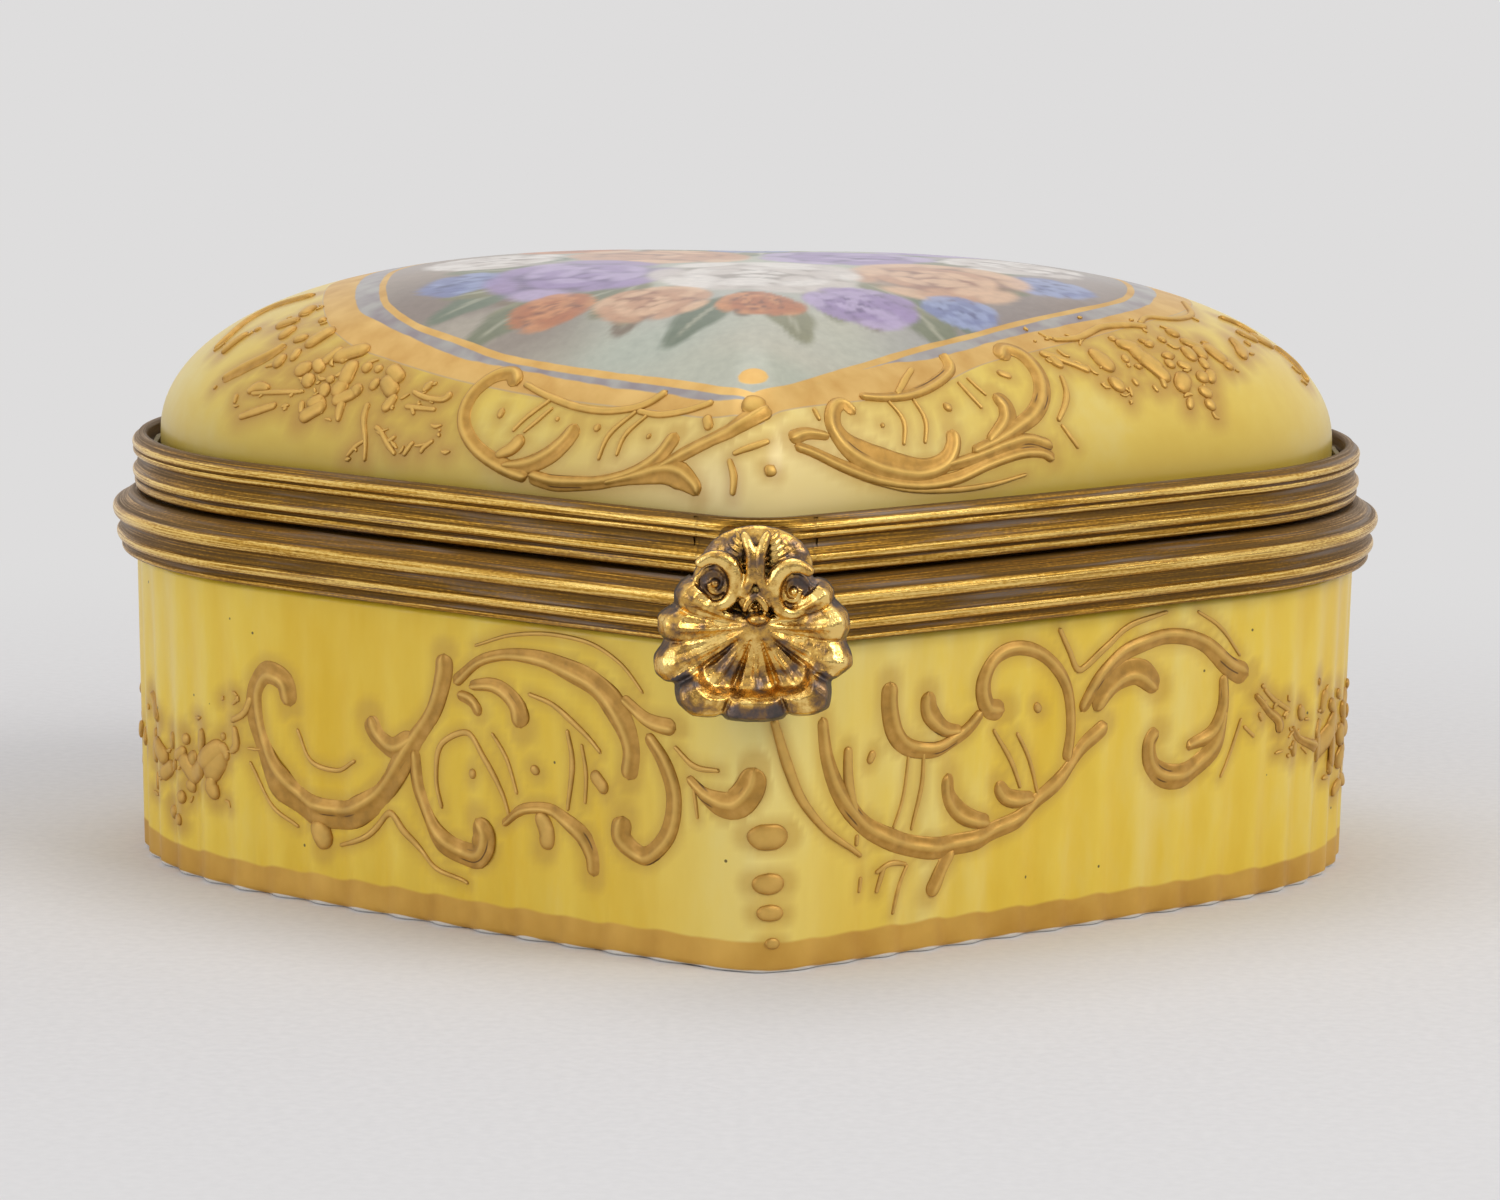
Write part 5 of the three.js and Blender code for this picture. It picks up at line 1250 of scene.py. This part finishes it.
def run_up(rows):
    """How far each row lies from the first, along the section"""
    return np.cumsum([0] + [math.dist(a[:2], b[:2]) for a, b in zip(rows, rows[1:])])


class HEARTBOX_OT_mounts(bpy.types.Operator):
    """Rolls the two moulded mounts round the body and the lid, and the saddle at the front corner"""

    bl_idname = "heartbox.mounts"
    bl_label = "Gilt mounts"

    def execute(self, context):
        brass = rolled_gilt_brass()
        # After its moulding each mount goes back over the top, down the inside and out underneath, darkened
        # there with tarnish and painted shade
        base = moulding_rows(BODY_MOULDING, BASE_LOW)
        base += [(0.1, BASE_TOP, 0.5), (-3.4, BASE_TOP, 0.3), (-3.5, BASE_TOP - 0.1, 0.3),
                 (-3.5, BASE_TOP - 0.7, 0.5), (0.3, BASE_TOP - 0.7, 0.8), (0.3, BASE_LOW, 0.8),
                 (0.9, BASE_LOW, 0.6)]
        piece = self.strip("body_mount", base, "base", brass, 0)
        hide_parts("base_collar")
        lid = moulding_rows(LID_MOULDING, LID_LOW)
        lid += [(-0.3, LID_TOP, 0.6), (-0.6, LID_TOP, 0.9), (-0.75, LID_TOP - 0.3, 1),
                (-0.75, LID_LOW + 0.7, 1), (-3.3, LID_LOW + 0.7, 0.5), (-3.3, LID_LOW + 0.05, 0.3),
                (-3.2, LID_LOW, 0.3), (0, LID_LOW, 0.4)]
        piece = self.strip("lid_mount", lid, "lid", brass, 3.1)
        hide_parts("lid_collar")
        lip = [(-3.8, 21.4, 0.3), (-3.8, 28.2, 0.1), (-3.86, 28.35, 0), (-4.0, 28.4, 0), (-4.3, 28.4, 0),
               (-4.44, 28.35, 0), (-4.5, 28.2, 0.1), (-4.5, 21.4, 0.3)]
        piece = self.strip("locating_lip_fine", lip, "base", brass, 0)
        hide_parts("locating_lip")
        self.saddle(brass)
        return {"FINISHED"}

    def strip(self, name, rows, body, material, filed):
        """A moulding carried round the heart, filed back for this far beside the tip to seat the saddle"""
        heart = body_heart()
        s = heart.stations(0.6, 0.2)
        ease, filed_to = 0.35, -0.25
        back = np.clip((filed + ease - np.abs(s)) / ease, 0, 1) if filed else np.zeros(len(s))
        rings = []
        for offset, z, _ in rows:
            # Only the moulding is filed, and the rows inside the mount keep the heart's own arcs
            cut = min(0.0, filed_to - offset) if offset > -0.7 else 0.0
            push = offset + cut * back
            xy = heart.points(s, offset) if offset < -0.8 else heart.points(s, 0.0, push)
            rings.append(np.column_stack([xy, np.full(len(s), z)]))
        points, faces = skin(rings, joined=True)
        values = {"along": np.tile(s, len(rows)), "across": np.repeat(run_up(rows), len(s)),
                  "hollow_and_shade": column(rows, len(s), 2)}
        return make_piece(name, points, faces, body, material, values)

    def saddle(self, brass):
        """Saddle soldered round the filed corner of the lid mount, with the block that carries the
        thumbpiece. It is plain in the middle, and follows the mount's moulding where it dies out."""
        heart, reach, proud, deep = body_heart(), 4.6, 0.28, -0.6
        rows = moulding_rows(LID_MOULDING, LID_LOW)
        run = run_up(rows)
        run = [0, 0, *run, run[-1]]
        rings, hollow_and_shade, along = [], [], []
        for s in np.linspace(reach, -reach, 57):
            plain = float(np.clip((reach - 0.5 - abs(s)) / 2.4, 0, 1))
            plain = plain * plain * (3 - 2 * plain)
            # Its ends sink into the mount
            lift = 0.04 - 0.2 * (1 - min((reach - abs(s)) / 0.4, 1))
            # Each row keeps the moulding's darkening, tarnish with painted shade, easing to an even share on
            # the plain middle
            section = [(deep, LID_LOW + 0.05, 0.5), (0.03, LID_LOW + 0.05, 0.5)]
            section += [(offset + lift + (proud - offset) * plain, z, tarnish + (0.3 - tarnish) * plain)
                        for offset, z, tarnish in rows[:-2]]
            section += [(0.05, LID_TOP - 0.08, 0.5), (-0.1, LID_TOP - 0.1, 0.6), (deep, LID_TOP - 0.1, 0.6)]
            rings.append([(*heart.points([s], 0.0, o)[0], z) for o, z, _ in section])
            hollow_and_shade += [tarnish for _, _, tarnish in section]
            along += [s] * len(section)
        points, faces = skin(rings)
        values = {"hollow_and_shade": [*hollow_and_shade, 0.5, 0.5], "along": [*along, reach, -reach],
                  "across": [*np.tile(run, len(rings)), 0, 0]}
        # A block soldered to the saddle runs into the back of the thumbpiece and carries it
        count, level = 32, 28.9
        turn = np.linspace(0, math.tau, count, endpoint=False)
        x, z = (np.sign(wave) * np.abs(wave) ** 0.4 for wave in (np.cos(turn), np.sin(turn)))
        # Depth, half width and half height of each section, from the saddle to the thumbpiece
        sections = ((1.3, 2.5, 1.7), (0.9, 2.0, 1.45), (0.5, 1.75, 1.3), (-0.4, 1.7, 1.3), (-1.35, 1.7, 1.3))
        block, sides = skin([np.column_stack([wide * x, np.full(count, y), level + high * z])
                             for y, wide, high in sections])
        solder = {"hollow_and_shade": np.full(len(block), 0.5), "along": block[:, 0], "across": block[:, 2]}
        points, faces, values = joined_nets([(points, faces, values), (block, sides, solder)])
        piece = make_piece("clasp_saddle", points, faces, "lid", brass, values)
        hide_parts("clasp_lug")


def tube_net(path, radii, sides=14):
    """A round bar of changing thickness along a smooth path of (x, out, z) points"""
    dense = smooth(path, 8)
    tangent = np.gradient(dense, axis=0)
    tangent /= np.linalg.norm(tangent, axis=1)[:, None]
    width = np.interp(np.linspace(0, 1, len(dense)), np.linspace(0, 1, len(radii)), radii)
    ends_in = np.minimum(np.arange(len(dense)), np.arange(len(dense))[::-1])
    # Both ends are rounded off over a few steps
    steps = 3.0
    width = width * np.sqrt(np.clip((ends_in + 0.4) / steps, 0, 1))
    angles = np.linspace(0, math.tau, sides, endpoint=False)
    rings = []
    for centre, ahead, radius in zip(dense, tangent, width):
        side = np.cross(ahead, (0, -1, 0))
        side /= np.linalg.norm(side) + 1e-9
        rise = np.cross(side, ahead)
        rings.append(centre + radius * (np.outer(np.cos(angles), rise) + np.outer(np.sin(angles), side)))
    points, faces = skin(rings)
    return points, faces, {}


def pebble_net(x, out, z, rx, ro, rz):
    """A rounded lump of metal, centred at a distance out from the back of the thumbpiece"""
    rings, sides, cap = [], 20, 0.12
    turn = np.linspace(0, math.tau, sides, endpoint=False)
    for a in np.linspace(cap, math.pi - cap, 12):
        rings.append(np.column_stack([x + rx * math.sin(a) * np.cos(turn),
                                      -out - ro * math.sin(a) * np.sin(turn),
                                      np.full(sides, z - rz * math.cos(a))])[::-1])
    points, faces = skin(rings)
    return points, faces, {}


class HEARTBOX_OT_thumbpiece(bpy.types.Operator):
    """Casts the shell thumbpiece: a fanned scallop with a curled lip, two volutes and a forked crest"""

    bl_idname = "heartbox.thumbpiece"
    bl_label = "Shell thumbpiece"

    # Where the ribs meet, and how far the flat back lies from the tip
    HUB = (0.0, 24.6)
    BACK = -0.85
    # Lobes and notches of the shell's edge on each side: degrees from straight down, and radius
    LEFT = [(0, 6.6), (8, 6.65), (17, 6.8), (19.5, 6.55), (22, 6.85), (34, 7.5), (44, 7.45), (50, 7.0),
            (52, 6.7), (56, 7.25), (62, 7.5), (70, 7.2), (75, 6.4), (78, 6.2), (83, 6.5), (93, 6.5),
            (98, 5.9), (101, 5.5), (109, 5.75), (118, 5.6), (124, 5.3)]
    RIGHT = [(0, 6.6), (10, 6.65), (17, 6.7), (19.5, 6.45), (22, 6.7), (32, 7.2), (41, 7.45), (48, 6.8),
             (52, 6.35), (56, 6.6), (66, 7.05), (71, 6.75), (77, 6.15), (80, 6.1), (87, 6.25), (96, 6.1),
             (102, 5.65), (106, 5.4), (113, 5.55), (120, 5.4), (124, 5.1)]
    NOTCHES = (-101, -78, -52, -19.5, 19.5, 52, 79, 105)
    # Sense and centre of each volute
    VOLUTES = ((-1, (-2.75, 27.25)), (1, (2.45, 26.75)))
    # Painted grey reflection across the front of the lip: degrees from straight down, and share
    LIP_REFLECTION = ((-52, 0.6), (-45, 0.4), (-38, 0.05), (-21, 0.0), (-17, 0.3), (-10, 0.55), (10, 0.55),
                   (16, 0.3), (20, 0.0), (33, 0.0), (42, 0.45), (52, 0.6))

    def execute(self, context):
        nets = [self.fan()]
        for side, centre in self.VOLUTES:
            nets += self.volute(side, centre)
        nets += self.crest()
        points, faces, _ = joined_nets(nets)
        # Out is measured forward from the back of the shell
        placed = np.column_stack([points[:, 0], self.BACK + points[:, 1], points[:, 2]])
        piece = make_piece("shell_thumbpiece", placed, faces, "lid",
                           cast_gilt_brass("cast_gilt_brass", 0.3, 0.75))
        self.fuse(context, piece)
        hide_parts("shell_clasp")
        return {"FINISHED"}

    def fan(self):
        """Scallop: ribs fan out from the hub, dish in, then curl forward into a thick lip"""
        spread, beyond, thin = 124, 4, 0.3
        degrees = np.linspace(-spread, spread, 311)
        radius = np.where(degrees < 0, np.interp(-degrees, *zip(*self.LEFT)),
                          np.interp(degrees, *zip(*self.RIGHT)))
        radius = np.convolve(np.pad(radius, 2, mode="edge"), [0.1, 0.2, 0.4, 0.2, 0.1], "valid")
        # How far the metal stands out, from the hub to the edge, in front and then at the sides
        share = np.linspace(0, 1, 60)
        front = np.array([np.interp(share, (0, 0.12, 0.3, 0.55, 0.67, 0.73, 0.78, 0.94, 1),
                                    (2.3, 2.2, 1.6, 1.35, 1.7, 2.55, 2.95, 2.85, 1.7)),
                          np.interp(share, (0, 0.12, 0.3, 0.55, 0.8, 0.92, 1),
                                    (2.3, 2.2, 1.7, 1.8, 2.35, 2.1, 0.9))])
        edges = np.array((-spread - beyond,) + self.NOTCHES + (spread + beyond,))
        rings = []
        for angle, reach in zip(degrees, radius):
            cell = int(np.clip(np.searchsorted(edges, angle) - 1, 0, len(edges) - 2))
            u = 2 * (angle - edges[cell]) / (edges[cell + 1] - edges[cell]) - 1
            rib = math.sqrt(max(1 - u * u, 0))
            fine = math.cos(math.tau * (1.5 if abs(angle) < 58 else 1.0) * u)
            fan_out = np.clip(share / 0.2, 0, 1) * np.clip((1.05 - share) / 0.3, 0, 1)
            # Ribs leave the hub steeply and bend outwards
            bent = math.radians(angle) * (0.84 + 0.16 * share)
            side = np.clip((abs(angle) - 48) / 10, 0, 1)
            profile = front[0] * (1 - side) + front[1] * side
            grow = np.clip((share - 0.12) / 0.35, 0, 1)
            lip = np.clip((share - 0.6) / 0.1, 0, 1) * (1 - side)
            out = profile + grow * ((rib - 0.75) * 0.8 + 0.09 * fine * (1 - lip) * fan_out)
            x = self.HUB[0] + np.sin(bent) * reach * share
            z = self.HUB[1] - np.cos(bent) * reach * share
            rings.append(np.column_stack([x, -np.maximum(out, thin), z]))
        back = [np.column_stack([r[:, 0], np.zeros(len(r)), r[:, 2]])[::-1] for r in rings]
        loops = [np.vstack([f, b]) for f, b in zip(rings, back)]
        points, faces = skin(loops[::-1])
        return points, faces, {}

    def volute(self, side, centre):
        """A swelling band that rolls over, down and in to a bead, on a sunk ground"""
        def spiral(start, end, first, last, low, high, count):
            turn = np.radians(np.linspace(start, end, count))
            radius, out = np.linspace(first, last, count), np.linspace(low, high, count)
            return [(centre[0] - side * 0.86 * r * math.cos(a), -o, centre[1] + r * math.sin(a))
                    for a, r, o in zip(turn, radius, out)]
        outer = spiral(140, -200, 1.8, 1.4, 2.3, 1.6, 24)
        inner = spiral(-200, -540, 1.2, 0.42, 1.6, 1.9, 22)
        return [
            tube_net(outer, (0.34, 0.5, 0.62, 0.62, 0.5, 0.38, 0.28, 0.22, 0.2)),
            tube_net(inner, (0.2, 0.2, 0.18, 0.17)),
            pebble_net(centre[0], 1.9, centre[1], 0.3, 0.5, 0.3),
            pebble_net(centre[0], 0.95, centre[1], 1.5, 0.85, 1.75),
        ]

    def crest(self):
        """Knob under a hood, forked strands and prongs, hatched leaves, and the neck plate behind them"""
        nets = [pebble_net(0.1, 2.1, 24.95, 0.78, 0.95, 0.46), pebble_net(-0.05, 1.7, 25.75, 0.3, 0.75, 0.26),
                pebble_net(0, 0.55, 28.2, 3.75, 1.0, 2.75), pebble_net(0, 1.1, 26.4, 1.5, 0.95, 1.5)]
        hood = [(-0.8, 25.4), (-0.62, 26), (-0.1, 26.5), (0.45, 26), (0.68, 25.4)]
        nets.append(tube_net([(x, -2.4, z) for x, z in hood], (0.2, 0.24, 0.26, 0.24, 0.2)))
        strands = (((-0.95, 30.7), (-0.66, 30.05), (-0.42, 29.35), (-0.39, 28.5), (-0.42, 27.7), (-0.66, 27),
                    (-1, 26.3)),
                   ((0.75, 30.75), (0.45, 30.05), (0.21, 29.35), (0.18, 28.5), (0.21, 27.7), (0.45, 27),
                    (0.82, 26.3)))
        # How far each point of a strand stands out from the back
        outs = (1.8, 2.2, 2.45, 2.5, 2.5, 2.4, 2.1)
        for side, strand in zip((-1, 1), strands):
            nets.append(tube_net([(x, -out, z) for (x, z), out in zip(strand, outs)],
                                 (0.24, 0.36, 0.38, 0.36, 0.36, 0.36, 0.28)))
            for k in range(5):
                root, tip = (side * 0.6, 28.4 + 0.36 * k), (side * (2.35 - 0.22 * k), 29.0 + 0.42 * k)
                middle = ((root[0] + tip[0]) / 2, (root[1] + tip[1]) / 2 - 0.08)
                hatch = zip((root, middle, tip), (1.6, 1.7, 1.35))
                nets.append(tube_net([(x, -out, z) for (x, z), out in hatch], (0.15, 0.2, 0.12)))
            nets.append(pebble_net(side * 4.0, 0.7, 26.5, 1.0, 1.0, 1.05))
        return nets

    def fuse(self, context, piece):
        """Fuses the forms into one casting and cuts its back flat"""
        context.view_layer.objects.active = piece
        voxels = piece.modifiers.new("fuse", "REMESH")
        voxels.mode, voxels.voxel_size, voxels.use_smooth_shade = "VOXEL", 0.09 * MM, True
        soften = piece.modifiers.new("soften", "SMOOTH")
        soften.factor, soften.iterations = 0.5, 2
        depsgraph = context.evaluated_depsgraph_get()
        fused = bpy.data.meshes.new_from_object(piece.evaluated_get(depsgraph))
        piece.modifiers.clear()
        material = piece.data.materials[0]
        piece.data = fused
        piece.data.name = piece.name
        piece.data.materials.clear()
        piece.data.materials.append(material)
        co = np.zeros(len(fused.vertices) * 3)
        fused.vertices.foreach_get("co", co)
        co = co.reshape(-1, 3)
        back = (self.BACK - FRAME_SHIFT) * MM
        co[:, 1] = np.minimum(co[:, 1], back)
        fused.vertices.foreach_set("co", co.ravel())
        normal = np.zeros(len(fused.vertices) * 3)
        fused.vertices.foreach_get("normal", normal)
        # Hollows keep their tarnish, and the sides that turn away from the thumb are darkened as painted
        # shade
        facing = -normal.reshape(-1, 3)[:, 1]
        out = (back - co[:, 1]) / MM
        sunk = 0.9 * np.clip((0.42 - facing) / 0.4, 0, 1) + 0.16 * np.clip((1.8 - out) / 0.8, 0, 1)
        for _, (x, z) in self.VOLUTES:
            away = np.hypot((co[:, 0] / MM - x) / 0.86, co[:, 2] / MM - z)
            sunk += 0.24 * np.clip((1.25 - away) / 0.2, 0, 1) * np.clip((2.0 - out) / 0.3, 0, 1)
        x, z = co[:, 0] / MM - self.HUB[0], self.HUB[1] - co[:, 2] / MM
        share, angle = np.hypot(x, z) / 6.7, np.degrees(np.arctan2(x, z))
        # The dish is dull brown with tarnish, and the lip's front faces carry a painted grey reflection but
        # for the gaps between the lobes
        dish = np.clip((share - 0.1) / 0.2, 0, 1) * np.clip((0.8 - share) / 0.1, 0, 1)
        sunk += 0.1 * dish * np.exp(-((angle / 55) ** 4))
        face = np.clip((share - 0.78) / 0.06, 0, 1) * (np.abs(angle) < 56)
        sunk += face * np.interp(angle, *zip(*self.LIP_REFLECTION))
        fused.attributes.new("hollow_and_shade", "FLOAT", "POINT").data.foreach_set("value", sunk)
        fused.update()
        fused.shade_smooth()


class HEARTBOX_OT_fittings(bpy.types.Operator):
    """Finishes the hinge, its pin, the catch stud and the bedding"""

    bl_idname = "heartbox.fittings"
    bl_label = "Hinge and fittings"

    def execute(self, context):
        filed, pin, plaster = (cast_gilt_brass("hinge_gilt_brass", 0.25, 0.6),
                               cast_gilt_brass("drawn_brass_wire", 0.15, 0.4), bedding_plaster())
        finishes = {"base_hinge_leaf": filed, "lid_hinge_leaf": filed, "catch_stud": filed, "hinge_pin": pin,
                    "base_bedding": plaster, "lid_bedding": plaster}
        for name, material in finishes.items():
            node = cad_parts[name]
            node.data.materials.clear()
            node.data.materials.append(material)
        return {"FINISHED"}


class HEARTBOX_PT_panel(bpy.types.Panel):
    """Lists the sizes, the colours and the steps that make the box"""

    bl_idname = "HEARTBOX_PT_panel"
    bl_label = "Heart-shaped box"
    bl_space_type = "VIEW_3D"
    bl_region_type = "UI"
    bl_category = "Heart box"

    def draw(self, context):
        for name, kind in GROUPS.items():
            box = self.layout.box()
            for value in kind.__annotations__:
                box.prop(getattr(context.scene, name), value)
        for operator in OPERATORS:
            self.layout.operator(operator.bl_idname)


OPERATORS = (HEARTBOX_OT_stage, HEARTBOX_OT_body, HEARTBOX_OT_lid, HEARTBOX_OT_gilding, HEARTBOX_OT_mounts,
             HEARTBOX_OT_thumbpiece, HEARTBOX_OT_fittings)
GROUPS = {"heart_box_sizes": HeartBoxSizes, "heart_box_colours": HeartBoxColours,
          "heart_box_stage": HeartBoxStage}
CLASSES = (*GROUPS.values(), *OPERATORS, HEARTBOX_PT_panel)


def register():
    for cls in CLASSES:
        bpy.utils.register_class(cls)
    for name, kind in GROUPS.items():
        setattr(bpy.types.Scene, name, bpy.props.PointerProperty(type=kind))


def unregister():
    for name in GROUPS:
        delattr(bpy.types.Scene, name)
    for cls in reversed(CLASSES):
        bpy.utils.unregister_class(cls)


def main():
    register()
    bpy.ops.heartbox.stage()
    bpy.ops.heartbox.body()
    bpy.ops.heartbox.lid()
    bpy.ops.heartbox.gilding()
    bpy.ops.heartbox.mounts()
    bpy.ops.heartbox.thumbpiece()
    bpy.ops.heartbox.fittings()


if __name__ == "__main__":
    main()
